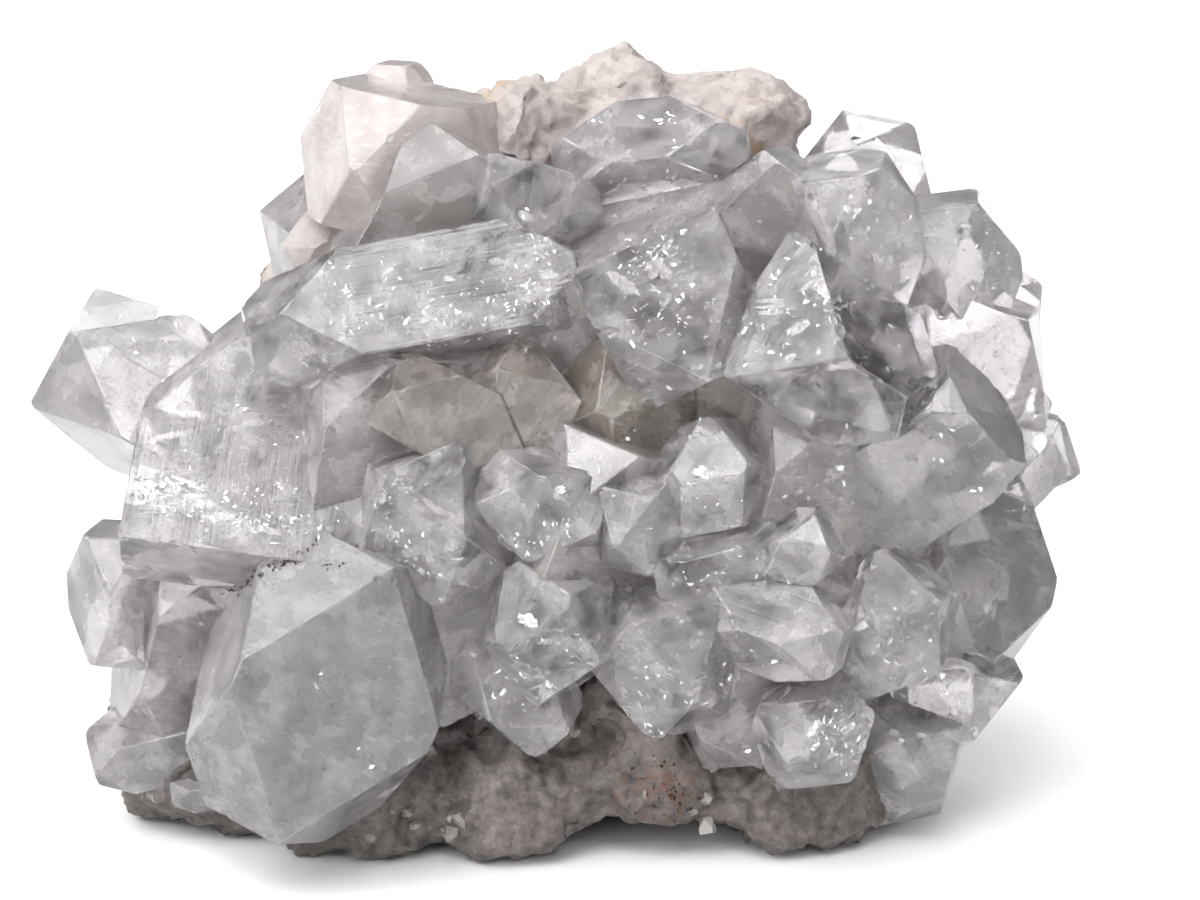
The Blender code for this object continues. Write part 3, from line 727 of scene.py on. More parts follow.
# Large groups of shards: the crystal, their middle and reach in mm, how many and their sizes in mm
shardPatches = (
    ("leftWindow", (1.5, -4.4, -11.2), (5.5, 0.5, 1.3), 190, (0.5, 2.4)),
    ("leftWindow", (-5.0, -4.2, -10.4), (3.0, 0.5, 1.0), 110, (0.5, 2.2)),
    ("leftWindow", (-9.5, -4.0, -9.2), (2.4, 0.8, 1.3), 110, (0.5, 2.4)),
    ("leftWindow", (-8.0, -2.0, -8.6), (3.4, 1.0, 1.6), 70, (0.8, 3.0)),
    ("leftWindow", (-1.4, -4.6, 0.6), (2.2, 0.4, 1.1), 70, (0.4, 1.6)),
    ("leftWindow", (6.4, -4.7, -0.6), (1.7, 0.4, 1.0), 50, (0.4, 1.4)),
    ("leftWindow", (5.0, -4.8, -7.2), (1.6, 0.3, 0.8), 26, (0.6, 2.2)),
    ("leftWindow", (-9.0, -4.6, -2.0), (1.4, 0.3, 1.6), 24, (0.3, 1.2)),
    ("pendant", (-3.6, -5.4, 0.6), (0.8, 0.3, 2.0), 36, (0.5, 2.2)),
    ("pendant", (1.2, -5.2, 2.0), (1.6, 0.4, 2.4), 90, (0.6, 3.0)),
    ("pendant", (-1.0, -6.2, -5.0), (2.6, 0.4, 2.4), 70, (0.4, 2.0)),
    ("pendant", (3.6, -6.2, -2.0), (1.2, 0.4, 3.4), 50, (0.4, 1.8)),
    ("glittering", (-2.0, -4.8, 2.4), (2.2, 0.5, 1.8), 110, (0.4, 1.8)),
    ("glittering", (2.0, -4.8, -1.6), (2.4, 0.5, 2.2), 120, (0.4, 1.8)),
    ("middleLeft", (3.9, -5.6, -3.4), (2.6, 0.3, 0.8), 60, (0.4, 1.8)),
    ("middleLeft", (1.8, -4.7, 7.0), (1.6, 0.3, 0.9), 60, (0.4, 1.8)),
    ("middleLeft", (-2.4, -5.6, 0.5), (2.2, 0.3, 2.2), 70, (0.4, 2.0)),
    ("longUpper", (-4.0, -5.2, -12.0), (1.6, 0.6, 3.6), 170, (0.35, 1.5)),
    ("longUpper", (-3.6, -5.4, -3.0), (1.6, 0.6, 4.6), 130, (0.3, 1.3)),
    ("longUpper", (2.0, -5.6, -14.0), (2.0, 0.5, 1.8), 60, (0.3, 1.3)),
    ("pentagon", (-2.4, -4.8, -4.2), (1.4, 0.3, 1.0), 60, (0.4, 2.2)),
    ("pentagon", (2.0, -5.4, 1.5), (1.8, 0.3, 2.6), 70, (0.4, 2.0)),
    ("topSmall", (-2.0, -2.9, 1.4), (1.0, 0.3, 1.2), 30, (0.3, 1.3)),
    ("middleBlock", (3.0, -5.4, 3.6), (2.0, 0.5, 3.0), 90, (0.3, 1.2)),
    ("clearBlock", (-4.6, -6.2, 5.2), (1.6, 0.4, 2.4), 50, (0.4, 1.8)),
    ("clearBlock", (2.0, -7.4, 0.0), (3.0, 0.5, 2.4), 80, (0.4, 1.8)),
    ("paleRight", (-3.0, -6.0, 6.8), (1.6, 0.3, 1.6), 36, (0.3, 1.3)),
    ("rightShoulder", (-2.0, -5.0, 2.0), (2.0, 0.4, 2.4), 60, (0.3, 1.5)),
    ("topMilky", (2.0, -7.6, 1.0), (4.0, 0.5, 2.6), 110, (0.4, 1.6)),
    ("leftFoot", (5.0, -6.8, -6.0), (3.0, 0.3, 3.0), 26, (0.25, 0.9)),
    ("leftFoot", (-4.0, -6.8, 4.0), (4.0, 0.3, 3.0), 14, (0.25, 0.8)),
    ("wedge", (0.5, -5.2, 1.5), (2.0, 0.3, 2.4), 40, (0.3, 1.4)),
    ("lozenge", (0.5, -3.6, 1.0), (1.6, 0.3, 2.4), 36, (0.3, 1.3)),
    ("topClear", (0.0, -3.9, 0.0), (1.6, 0.3, 4.0), 60, (0.3, 1.3)),
    ("innerRight", (-4.5, -7.8, 5.0), (2.6, 0.4, 2.6), 60, (0.3, 1.5)),
    ("middleLeftInner", (0.0, -4.6, 1.0), (2.0, 0.3, 2.4), 44, (0.3, 1.4)),
    ("centreRight", (-1.0, -5.0, 1.0), (2.0, 0.3, 2.0), 40, (0.3, 1.3)),
    ("centreRow", (0.0, -2.8, 0.0), (1.2, 0.3, 3.0), 40, (0.3, 1.2)),
    ("underPentagon", (0.0, -4.2, 0.0), (1.8, 0.3, 2.6), 36, (0.3, 1.2)),
    ("farLeft", (2.0, -7.2, 2.0), (3.0, 0.4, 3.0), 40, (0.3, 1.2)),
    ("farRight", (0.0, -5.4, 0.0), (2.4, 0.4, 2.6), 50, (0.3, 1.3)),
    ("lowerRight", (0.0, -5.4, 0.0), (2.2, 0.4, 2.6), 40, (0.3, 1.2)),
)


# Broad cleavage cracks close under a crystal's front face: the crystal, their place across and along the face, their
# length and width in mm, and how far they are turned in degrees.
faceCracks = (
    ("pendant", (0.2, 0.9), (3.4, 2.2), 40),
    ("pendant", (1.0, -0.3), (2.6, 1.8), 100),
    ("pendant", (-3.7, 0.5), (5.4, 1.9), 118),
    ("pendant", (2.4, 2.3), (2.2, 0.9), 15),
    ("pendant", (-0.5, -3.4), (2.4, 0.8), 30),
    ("topSmall", (-2.4, 2.0), (2.3, 1.6), 70),
    ("clearBlock", (-0.9, -1.3), (4.4, 0.6), -58),
    ("clearBlock", (-0.3, -0.9), (4.2, 0.5), -58),
    ("clearBlock", (0.3, -0.5), (3.8, 0.6), -58),
    ("clearBlock", (0.1, 3.4), (4.0, 1.4), -35),
    ("clearBlock", (-4.6, 1.6), (2.8, 0.7), -20),
    ("clearBlock", (-6.2, 1.4), (1.6, 1.0), 20),
    ("clearBlock", (3.4, 4.6), (2.2, 1.0), -30),
    ("rightShoulder", (-3.1, 2.3), (1.9, 1.3), 10),
    ("rightShoulder", (1.0, -3.0), (2.4, 0.9), 60),
    ("innerRight", (-4.3, 6.4), (3.4, 2.4), 50),
    ("leftWindow", (-9.0, -10.2), (5.2, 1.8), 8),
    ("leftWindow", (-3.2, -11.4), (4.4, 1.5), 4),
    ("leftWindow", (2.6, -12.2), (5.0, 1.1), -4),
    ("leftWindow", (-10.4, -7.4), (2.8, 1.4), 35),
    ("leftWindow", (-0.8, 0.9), (3.2, 1.0), 10),
    ("leftWindow", (6.0, -0.4), (2.4, 0.9), 30),
    ("leftWindow", (-8.6, -2.2), (1.0, 3.0), 10),
    ("longUpper", (-1.0, -14.4), (2.8, 1.5), 70),
    ("longUpper", (1.6, -9.0), (2.2, 1.0), 80),
    ("longUpper", (-3.4, -11.8), (2.6, 1.2), 100),
    ("longUpper", (0.6, -3.2), (2.0, 0.8), 60),
    ("longUpper", (-3.6, 0.4), (2.0, 0.9), 110),
    ("pentagon", (-4.2, 4.2), (3.4, 2.1), -30),
    ("pentagon", (-1.4, 1.8), (2.2, 1.0), 20),
    ("glittering", (-2.8, 2.8), (3.0, 1.6), 25),
    ("glittering", (1.5, 0.6), (2.4, 1.2), -20),
    ("glittering", (2.8, -2.6), (2.3, 1.4), 50),
    ("glittering", (-1.5, -1.6), (1.9, 1.0), 0),
    ("middleLeft", (4.8, -1.0), (3.0, 1.6), 20),
    ("middleLeft", (-1.5, 6.2), (2.2, 1.0), 50),
    ("middleLeftInner", (-4.0, 2.4), (2.7, 1.3), -20),
    ("centreRight", (-3.6, 2.6), (2.6, 1.8), 15),
    ("middleBlock", (2.4, 3.4), (2.2, 0.9), 70),
    ("paleRight", (-3.0, 3.2), (2.0, 0.9), 40),
    ("topMilky", (0.4, 4.6), (4.6, 0.6), 12),
    ("topMilky", (2.6, 2.4), (3.2, 0.5), 8),
    ("topMilky", (-3.0, 5.2), (3.0, 0.5), 20),
)


def crackSeeds(chance):
    seeds = []
    for name, (across, along), (length, width), turned in faceCracks:
        row = crystals[name]
        point = Vector((across, chance.uniform(*inclusionShape["crackDepth"]) - row[4][1], along))
        tip = Matrix.Rotation(math.radians(90), 4, "X") @ randomTilt(inclusionShape["crackTilt"], chance)
        tip @= Matrix.Rotation(math.radians(turned), 4, "Z")
        turn = crystalPlace(row)
        seeds.append((turn @ point * mm, (turn @ tip).to_euler(), Vector((length, width, 1.0)) * mm))
    return seeds


def crystalVolume(row):
    # cm3
    return 4 * row[4][0] * row[4][1] * (row[5][0] + row[6][0]) / 1000


def insideSeed(row, point, size, slenderness, tilt, thickness, chance):
    # a seed for one inclusion in the crystal's own axes, or nothing where it would stand out of its faces
    if not insideBlank(row, point, size * 0.5 + 0.05):
        return []
    tip = randomTilt(tilt, chance) @ Matrix.Rotation(chance.gauss(0, 0.5), 4, "Z")
    turn = crystalPlace(row)
    spread = Vector((size, size * chance.uniform(*slenderness), size * thickness))
    return [(turn @ point * mm, (turn @ tip).to_euler(), spread * mm)]


def patchSeeds(row, middle, reach, count, sizes, chance):
    seeds = []
    shape = inclusionShape
    for _ in range(count):
        point = Vector(middle) + randomVector(reach, chance)
        size = sizes[0] + (sizes[1] - sizes[0]) * chance.random() ** 2.5
        seeds += insideSeed(row, point, size, shape["shardWidth"], shape["shardTilt"], 1.0, chance)
    return seeds


def randomPoint(row, depth, chance):
    # most of them near one of the prism's faces
    point = Vector((chance.uniform(-1, 1) * row[4][0], chance.uniform(-1, 1) * row[4][1],
                    chance.uniform(-row[6][0], row[5][0])))
    side = chance.choice((0, 1))
    point[side] = math.copysign(row[4][side] - 0.4 - chance.expovariate(1 / depth), point[side])
    return point


def shardSeeds(chance):
    seeds = []
    for name, middle, reach, count, sizes in shardPatches:
        seeds += patchSeeds(crystals[name], middle, reach, count, sizes, chance)
    for row in crystals.values():
        look = crystalLooks[row[7]]
        for _ in range(int(crystalVolume(row) * look["patches"] + chance.random())):
            point = randomPoint(row, inclusionShape["patchDepth"], chance)
            reach = [part * chance.uniform(0.4, 1.2) for part in inclusionShape["patchReach"]]
            count = int(look["shards"] * chance.uniform(0.3, 1.5))
            seeds += patchSeeds(row, point, reach, count, inclusionShape["shardSize"], chance)
    return seeds


def onFace(row, point, chance):
    # the nearest spot on a prism face
    side = max((0, 1), key=lambda axis: abs(point[axis]) - row[4][axis])
    point[side] = math.copysign(row[4][side] + chance.uniform(-0.04, 0.03), point[side])
    return point


def glintSeeds(chance):
    # bright little chips and etched facets, over the groups of shards and strewn between them
    shape = inclusionShape
    groups = [(crystals[name], middle, reach, int(count * shape["glintShare"]))
              for name, middle, reach, count, sizes in shardPatches]
    for row in crystals.values():
        look = crystalLooks[row[7]]
        for _ in range(int(crystalVolume(row) * look["patches"] * 0.8 + chance.random())):
            reach = [part * chance.uniform(0.5, 2.0) for part in shape["patchReach"]]
            count = int(look["shards"] * shape["glintShare"] * chance.uniform(0.5, 2.0))
            groups.append((row, randomPoint(row, 0.3, chance), reach, count))
    seeds = []
    for row, middle, reach, count in groups:
        turn = crystalPlace(row)
        for _ in range(count):
            point = onFace(row, Vector(middle) + randomVector(reach, chance), chance)
            if not insideBlank(row, point, -0.06):
                continue
            size = shape["glintSize"][0] + (shape["glintSize"][1] - shape["glintSize"][0]) * chance.random() ** 4
            side = max((0, 1), key=lambda axis: abs(point[axis]) - row[4][axis])
            out = Vector((0, 0, 0))
            out[side] = math.copysign(1, point[side])
            out += randomVector((shape["glintTilt"],) * 3, chance)
            tip = out.to_track_quat("Z", "X").to_matrix().to_4x4()
            tip @= Matrix.Rotation(chance.uniform(0, fullTurn), 4, "Z")
            spread = Vector((size, size * chance.uniform(*shape["glintWidth"]), size * 0.6))
            seeds.append((turn @ point * mm, (turn @ tip).to_euler(), spread * mm))
    return seeds


def speckSeeds(chance):
    seeds = []
    for row in crystals.values():
        for _ in range(int(crystalVolume(row) * inclusionShape["specks"] + chance.random())):
            point = randomPoint(row, 0.25, chance)
            seeds += insideSeed(row, point, chance.uniform(*inclusionShape["speckSize"]), (0.4, 1.0), 60, 0.7, chance)
    return seeds


def clearApophyllite():
    # apophyllite, as grown: glassy where clear, with cloudy veils, white wisps and growth striations
    made, tree, place = newMaterial("clearApophyllite")
    faceMap = addNode(tree, "ShaderNodeUVMap", uv_map="faceMap").outputs["UV"]
    milk, frost, warmth, tone, kind, worn = (
        addNode(tree, "ShaderNodeAttribute", attribute_name=key).outputs["Fac"]
        for key in ("milk", "frost", "warmth", "tone", "kind", "worn"))

    # clouds 4 mm wide, and white wisps drawn out along the base plane
    clouds = addNode(tree, "ShaderNodeTexNoise", {"Vector": place, "Scale": 240.0, "Detail": 3.0, "Roughness": 0.62})
    veil = addNode(tree, "ShaderNodeMapRange", {"Value": clouds, "From Min": 0.36, "From Max": 0.68, "To Min": -0.16,
                                                "To Max": 0.26})
    cloudy = addNode(tree, "ShaderNodeMath", {0: milk, 1: veil}, operation="ADD", use_clamp=True)
    drawn = addNode(tree, "ShaderNodeMapping", {"Vector": faceMap, "Scale": (0.35, 1.7, 1.0)})
    wisps = addNode(tree, "ShaderNodeTexNoise", {"Vector": drawn, "Scale": 1.0, "Detail": 3.0, "Roughness": 0.65})
    wisp = addNode(tree, "ShaderNodeMapRange", {"Value": wisps, "From Min": 0.52, "From Max": 0.88, "To Max": 0.55})
    wisp = addNode(tree, "ShaderNodeMath", {0: wisp, 1: clouds}, operation="MULTIPLY")
    # worn edge strips are painted whiter: partly frosted wear, partly a painted highlight along the crystals' edges
    rubbedEdgeAndHighlight = addNode(tree, "ShaderNodeMath", {0: worn, 1: 0.12}, operation="MULTIPLY")
    white = addNode(tree, "ShaderNodeMath", {0: wisp, 1: rubbedEdgeAndHighlight}, operation="MAXIMUM")

    body = addNode(tree, "ShaderNodeMix", {"Factor": cloudy, 6: "#EAE7EA", 7: "#CFCACD"}, data_type="RGBA")
    body = addNode(tree, "ShaderNodeMix", {"Factor": warmth, 6: body, 7: "#BFB5AB"}, data_type="RGBA")
    shade = addNode(tree, "ShaderNodeMapRange", {"Value": tone, "From Min": -0.4, "From Max": 1.1, "To Min": 0.40,
                                                 "To Max": 1.18})
    body = addNode(tree, "ShaderNodeVectorMath", {0: body, 3: shade}, operation="SCALE")
    body = addNode(tree, "ShaderNodeMix", {"Factor": white, 6: body, 7: "#EDEAEC"}, data_type="RGBA")
    clearness = addNode(tree, "ShaderNodeMapRange", {"Value": cloudy, "To Min": 0.98, "To Max": 0.32})
    solid = addNode(tree, "ShaderNodeMapRange", {"Value": white, "To Min": 1.0, "To Max": 0.45})
    clearness = addNode(tree, "ShaderNodeMath", {0: clearness, 1: solid}, operation="MULTIPLY")
    roughness = addNode(tree, "ShaderNodeMath", {0: frost, 1: white}, operation="ADD")
    roughness = addNode(tree, "ShaderNodeMapRange", {"Value": roughness, "To Min": 0.015, "To Max": 0.30})

    # striations 0.35 mm apart along the prism, faint on the pyramid and the base plane
    stretch = addNode(tree, "ShaderNodeMapping", {"Vector": faceMap, "Scale": (2.8, 0.12, 1.0)})
    lines = addNode(tree, "ShaderNodeTexNoise", {"Vector": stretch, "Scale": 1.0, "Detail": 2.0})
    strength = addNode(tree, "ShaderNodeMapRange", {"Value": kind, "To Min": 0.25, "To Max": 0.08})
    bump = addNode(tree, "ShaderNodeBump", {"Height": lines, "Strength": strength, "Distance": 0.0001})
    shader = addNode(tree, "ShaderNodeBsdfPrincipled", {"Base Color": body, "Roughness": roughness, "IOR": 1.535,
                                                        "Transmission Weight": clearness, "Normal": bump})
    inside = addNode(tree, "ShaderNodeVolumeAbsorption", {"Color": (0.805, 0.80, 0.805, 1.0), "Density": 70.0})
    addNode(tree, "ShaderNodeOutputMaterial", {"Surface": shader, "Volume": inside})
    return made


def milkyApophyllite():
    # milky apophyllite of the crown: clouded through, with a pinkish tinge and a waxy break
    made, tree, place = newMaterial("milkyApophyllite")
    faceMap = addNode(tree, "ShaderNodeUVMap", uv_map="faceMap").outputs["UV"]
    clouds = addNode(tree, "ShaderNodeTexNoise", {"Vector": place, "Scale": 170.0, "Detail": 4.0, "Roughness": 0.65})
    drawn = addNode(tree, "ShaderNodeMapping", {"Vector": faceMap, "Scale": (0.35, 1.5, 1.0)})
    streaks = addNode(tree, "ShaderNodeTexNoise", {"Vector": drawn, "Scale": 1.0, "Detail": 3.0})
    colour = addNode(tree, "ShaderNodeValToRGB", {"Fac": clouds}, ramp=((0.34, "#CABEBB"), (0.66, "#EEE6E4")))
    white = addNode(tree, "ShaderNodeMapRange", {"Value": streaks, "From Min": 0.56, "From Max": 0.74, "To Max": 0.5})
    base = addNode(tree, "ShaderNodeMix", {"Factor": white, 6: colour, 7: "#F3F0EF"}, data_type="RGBA")
    bump = addNode(tree, "ShaderNodeBump", {"Height": streaks, "Strength": 0.3, "Distance": 0.0002})
    shader = addNode(tree, "ShaderNodeBsdfPrincipled", {"Base Color": base, "Roughness": 0.15, "IOR": 1.535,
                                                        "Transmission Weight": 0.5, "Normal": bump})
    inside = addNode(tree, "ShaderNodeVolumeAbsorption", {"Color": (0.82, 0.80, 0.79, 1.0), "Density": 90.0})
    addNode(tree, "ShaderNodeOutputMaterial", {"Surface": shader, "Volume": inside})
    return made


# Stains: place in mm, how far they reach, their colour and how closed they are
rockStains = {
    "footRed": ((8.5, -26.2, 9.8), 7.5, "#5A3A2E", 0.62),
    "footRedRight": ((13.2, -25.2, 6.6), 5.0, "#553529", 0.60),
    "crownOchre": ((-12.9, 0.8, 89.9), 5.0, "#B39C7E", 0.52),
    "crownOchreRight": ((18.0, -3.0, 84.0), 4.0, "#AE957A", 0.58),
    "backOchre": ((-6.0, 28.0, 46.0), 22.0, "#A59482", 0.70),
    "backRust": ((16.0, 26.0, 20.0), 12.0, "#8A6A54", 0.64),
}


def hostRockMaterial():
    # massive host rock: whitish and waxy above, beige-brown and darker towards the foot, partly its own colour and
    # partly painted shade
    made, tree, place = newMaterial("massiveHostRock")
    height = addNode(tree, "ShaderNodeSeparateXYZ", {0: place}).outputs["Z"]
    broad = addNode(tree, "ShaderNodeTexNoise", {"Vector": place, "Scale": 90.0, "Detail": 5.0, "Roughness": 0.6})
    fine = addNode(tree, "ShaderNodeTexNoise", {"Vector": place, "Scale": 700.0, "Detail": 4.0, "Roughness": 0.65})
    # towards the foot the rock turns dark brown: partly its own colour, partly painted shade where the foot lies in
    # shadow
    footBrownAndShade = addNode(tree, "ShaderNodeMapRange", {"Value": height, "From Min": 0.0, "From Max": 0.055, "To Min": 1.0,
                                               "To Max": 0.0})
    footBrownAndShadeMix = addNode(tree, "ShaderNodeMath", {0: broad, 1: 2.4, 2: footBrownAndShade}, operation="MULTIPLY_ADD")
    footBrownAndShadeMix = addNode(tree, "ShaderNodeMapRange", {"Value": footBrownAndShadeMix, "From Min": 1.05, "From Max": 1.95})
    pale = addNode(tree, "ShaderNodeValToRGB", {"Fac": broad}, ramp=((0.34, "#9C918D"), (0.66, "#D2C8C5")))
    brown = addNode(tree, "ShaderNodeValToRGB", {"Fac": fine}, ramp=((0.32, "#423C3A"), (0.68, "#756D69")))
    base = addNode(tree, "ShaderNodeMix", {"Factor": footBrownAndShadeMix, 6: pale, 7: brown}, data_type="RGBA")

    # crystalline grains 1.3 mm wide, each a little lighter or darker
    bent = addNode(tree, "ShaderNodeVectorMath", {0: fine.outputs["Color"], 3: 0.0016}, operation="SCALE")
    bent = addNode(tree, "ShaderNodeVectorMath", {0: bent, 1: place}, operation="ADD")
    grains = addNode(tree, "ShaderNodeTexVoronoi", {"Vector": bent, "Scale": 760.0})
    grainShade = addNode(tree, "ShaderNodeSeparateXYZ", {0: grains.outputs["Color"]}).outputs["X"]
    grainShade = addNode(tree, "ShaderNodeMapRange", {"Value": grainShade, "To Min": 0.80, "To Max": 1.08})
    base = addNode(tree, "ShaderNodeVectorMath", {0: base, 3: grainShade}, operation="SCALE")

    # the stains' edges stray by up to warp, and by half of it in each direction on average, which middle allows for
    warp = 0.02
    stray = addNode(tree, "ShaderNodeVectorMath", {0: broad.outputs["Color"], 3: warp}, operation="SCALE")
    stray = addNode(tree, "ShaderNodeVectorMath", {0: stray, 1: place}, operation="ADD")
    for spot, reach, colour, closed in rockStains.values():
        middle = (Vector(spot) + layoutShift) * mm + Vector((warp / 2,) * 3)
        away = addNode(tree, "ShaderNodeVectorMath", {0: stray, 1: middle}, operation="DISTANCE")
        near = addNode(tree, "ShaderNodeMapRange", {"Value": away, "From Min": reach * mm, "From Max": 0.0,
                                                    "To Max": 0.35})
        blot = addNode(tree, "ShaderNodeMath", {0: near, 1: fine}, operation="ADD")
        stain = addNode(tree, "ShaderNodeMapRange", {"Value": blot, "From Min": closed, "From Max": closed + 0.12})
        inZone = addNode(tree, "ShaderNodeMath", {0: stain, 1: near}, operation="MULTIPLY")
        inZone = addNode(tree, "ShaderNodeMath", {0: inZone, 1: 4.0}, operation="MULTIPLY", use_clamp=True)
        base = addNode(tree, "ShaderNodeMix", {"Factor": inZone, 6: base, 7: colour}, data_type="RGBA")
    bump = addNode(tree, "ShaderNodeBump", {"Height": fine, "Strength": 0.6, "Distance": 0.0004})
    shader = addNode(tree, "ShaderNodeBsdfPrincipled", {"Base Color": base, "Roughness": 0.5, "IOR": 1.54,
                                                        "Normal": bump})
    addNode(tree, "ShaderNodeOutputMaterial", {"Surface": shader})
    return made


def crackSilver():
    # an air-filled cleavage crack, which mirrors the light from inside the crystal
    made, tree, place = newMaterial("airFilledCleavage")
    ripple = addNode(tree, "ShaderNodeTexNoise", {"Vector": place, "Scale": 1600.0, "Detail": 2.0})
    bright = addNode(tree, "ShaderNodeValToRGB", {"Fac": ripple}, ramp=((0.35, "#EFEFF0"), (0.6, "#FFFFFF")))
    bump = addNode(tree, "ShaderNodeBump", {"Height": ripple, "Strength": 0.5, "Distance": 0.0001})
    shader = addNode(tree, "ShaderNodeBsdfPrincipled", {"Base Color": bright, "Metallic": 0.6, "Roughness": 0.2,
                                                        "IOR": 1.8, "Normal": bump})
    addNode(tree, "ShaderNodeOutputMaterial", {"Surface": shader})
    return made


def crackPearl():
    # a broad crack close under a face, pearly and ragged like the mineral's cleavage
    made, tree, place = newMaterial("pearlyCleavage")
    ragged = addNode(tree, "ShaderNodeTexNoise", {"Vector": place, "Scale": 1500.0, "Detail": 4.0, "Roughness": 0.7})
    bright = addNode(tree, "ShaderNodeValToRGB", {"Fac": ragged}, ramp=((0.38, "#B4B1B5"), (0.56, "#FBF9FB")))
    bump = addNode(tree, "ShaderNodeBump", {"Height": ragged, "Strength": 0.8, "Distance": 0.0003})
    shader = addNode(tree, "ShaderNodeBsdfPrincipled", {"Base Color": bright, "Metallic": 0.25, "Roughness": 0.32,
                                                        "IOR": 1.6, "Normal": bump})
    addNode(tree, "ShaderNodeOutputMaterial", {"Surface": shader})
    return made


def druseApophyllite():
    # the small crystals of the crust: the same mineral, a little frosted
    made, tree, place = newMaterial("druseApophyllite")
    clouds = addNode(tree, "ShaderNodeTexNoise", {"Vector": place, "Scale": 320.0, "Detail": 2.0})
    colour = addNode(tree, "ShaderNodeMix", {"Factor": clouds, 6: "#9A928D", 7: "#CDC8C6"}, data_type="RGBA")
    shader = addNode(tree, "ShaderNodeBsdfPrincipled", {"Base Color": colour, "Roughness": 0.12, "IOR": 1.535,
                                                        "Transmission Weight": 0.45})
    addNode(tree, "ShaderNodeOutputMaterial", {"Surface": shader})
    return made


def dirtMaterial():
    # dark iron-stained earth
    made, tree, place = newMaterial("ironStainedEarth")
    grain = addNode(tree, "ShaderNodeTexNoise", {"Vector": place, "Scale": 2500.0, "Detail": 2.0})
    colour = addNode(tree, "ShaderNodeMix", {"Factor": grain, 6: "#1C1613", 7: "#4A3629"}, data_type="RGBA")
    shader = addNode(tree, "ShaderNodeBsdfPrincipled", {"Base Color": colour, "Roughness": 0.85})
    addNode(tree, "ShaderNodeOutputMaterial", {"Surface": shader})
    return made


# Where earth is caught: two ends in mm, how far it strays, how many grains and their size
earthSeams = (
    ((-42.2, -21.5, 31.6), (-38.6, -29.2, 36.4), 0.28, 80, (0.2, 0.6)),
    ((-38.6, -29.2, 36.6), (-33.0, -29.8, 39.6), 0.28, 70, (0.2, 0.6)),
    ((-33.0, -29.8, 39.8), (-30.8, -28.6, 41.6), 0.25, 24, (0.15, 0.45)),
    ((7.0, -26.2, 10.4), (13.0, -25.6, 8.0), 1.8, 70, (0.2, 0.7)),
    ((-31.5, -31.5, 38.4), (-26.0, -30.4, 40.4), 0.5, 10, (0.2, 0.5)),
)


def earthSeeds(solids, chance):
    # each grain settles on the nearest surface
    seeds = []
    for first, last, stray, count, sizes in earthSeams:
        for _ in range(count):
            point = Vector(first).lerp(Vector(last), chance.random()) + layoutShift
            point = (point + randomVector((stray,) * 3, chance)) * mm
            found = min((solid.closest_point_on_mesh(point)[1:3] for solid in solids),
                        key=lambda hit: (hit[0] - point).length)
            size = chance.uniform(*sizes) * chance.uniform(0.5, 1.0)
            turn = Vector([chance.uniform(0, fullTurn) for _ in range(3)])
            seeds.append((found[0] + found[1] * size * 0.1 * mm, turn, Vector((size, size, size * 0.7)) * mm))
    return seeds


druseShape = {
    "count": 1300,  # tries, most of which find no place
    "sizes": (0.9, 2.6),  # mm
    "lean": 35,  # degrees
    "heights": (3, 72),  # mm, where the crust lies
    "backFrom": 6,  # mm, how far back the bare back of the rock begins
    "backShare": 0.10,  # how many of the tries on the back count
    "backGrowth": 1.8,  # how much larger the small crystals are at the back, and in front
    "frontGrowth": (0.5, 1.0),
    "clearance": 0.3,  # mm between a small crystal's seat and the large crystals
    "seed": 5,
}


def druseSeeds(mesh, chance):
    # on the bare rock only, in patches
    shape = druseShape
    lowest, highest = (height * mm for height in shape["heights"])
    turns = [(row, crystalPlace(row).inverted()) for row in crystals.values()]
    mesh.calc_loop_triangles()
    areas = np.cumsum([tri.area for tri in mesh.loop_triangles])
    seeds = []
    for _ in range(shape["count"]):
        tri = mesh.loop_triangles[int(np.searchsorted(areas, chance.random() * areas[-1]))]
        place = sum((mesh.vertices[n].co for n in tri.vertices), Vector()) / 3
        normal = tri.normal
        onBack = place.y > shape["backFrom"] * mm
        if not lowest <= place.z <= highest or normal.z < -0.5 or (onBack and chance.random() > shape["backShare"]):
            continue
        if noise.noise(place * 90) < -0.05:
            continue
        if any(insideBlank(row, back @ (place / mm), -shape["clearance"]) for row, back in turns):
            continue
        size = chance.uniform(*shape["sizes"])
        size *= shape["backGrowth"] if onBack else chance.uniform(*shape["frontGrowth"])
        turn = normal.to_track_quat("Z", "Y").to_matrix().to_4x4() @ randomTilt(shape["lean"], chance)
        turn @= Matrix.Rotation(chance.uniform(0, fullTurn), 4, "Z")
        seeds.append((place - normal * size * 0.4 * mm, turn.to_euler(), Vector((size,) * 3) * mm))
    return seeds


tree = scatterTree()
silver, earth = crackSilver(), dirtMaterial()
chance = random.Random(inclusionShape["seed"])
glintShapes = [shardMesh(f"glint{n}", chance.choice((3, 4, 5)), chance) for n in range(8)]
shardShapes = [shardMesh(f"shard{n}", chance.choice((5, 6, 7, 8)), chance) for n in range(12)]
grainShapes = [grainMesh(f"grain{n}", chance) for n in range(5)]
druseShapes = [smallCrystalMesh(f"small{n}", chance) for n in range(4)]
crackShapes = [shardMesh(f"crack{n}", chance.choice((15, 17, 19)), chance, (0.5, 0.95)) for n in range(7)]
shards = scatter("cleavage_shards", tree, shardSeeds(chance), shardShapes, silver, 1)
glints = scatter("surface_glints", tree, glintSeeds(chance), glintShapes, silver, 2)
cracks = scatter("face_cracks", tree, crackSeeds(chance), crackShapes, crackPearl(), 6)
bpy.context.view_layer.update()
dirt = scatter("dirt_grains", tree, earthSeeds((clearCrystals, hostRock), chance), grainShapes, earth, 5)
specks = scatter("specks", tree, speckSeeds(chance), grainShapes, earth, 3)
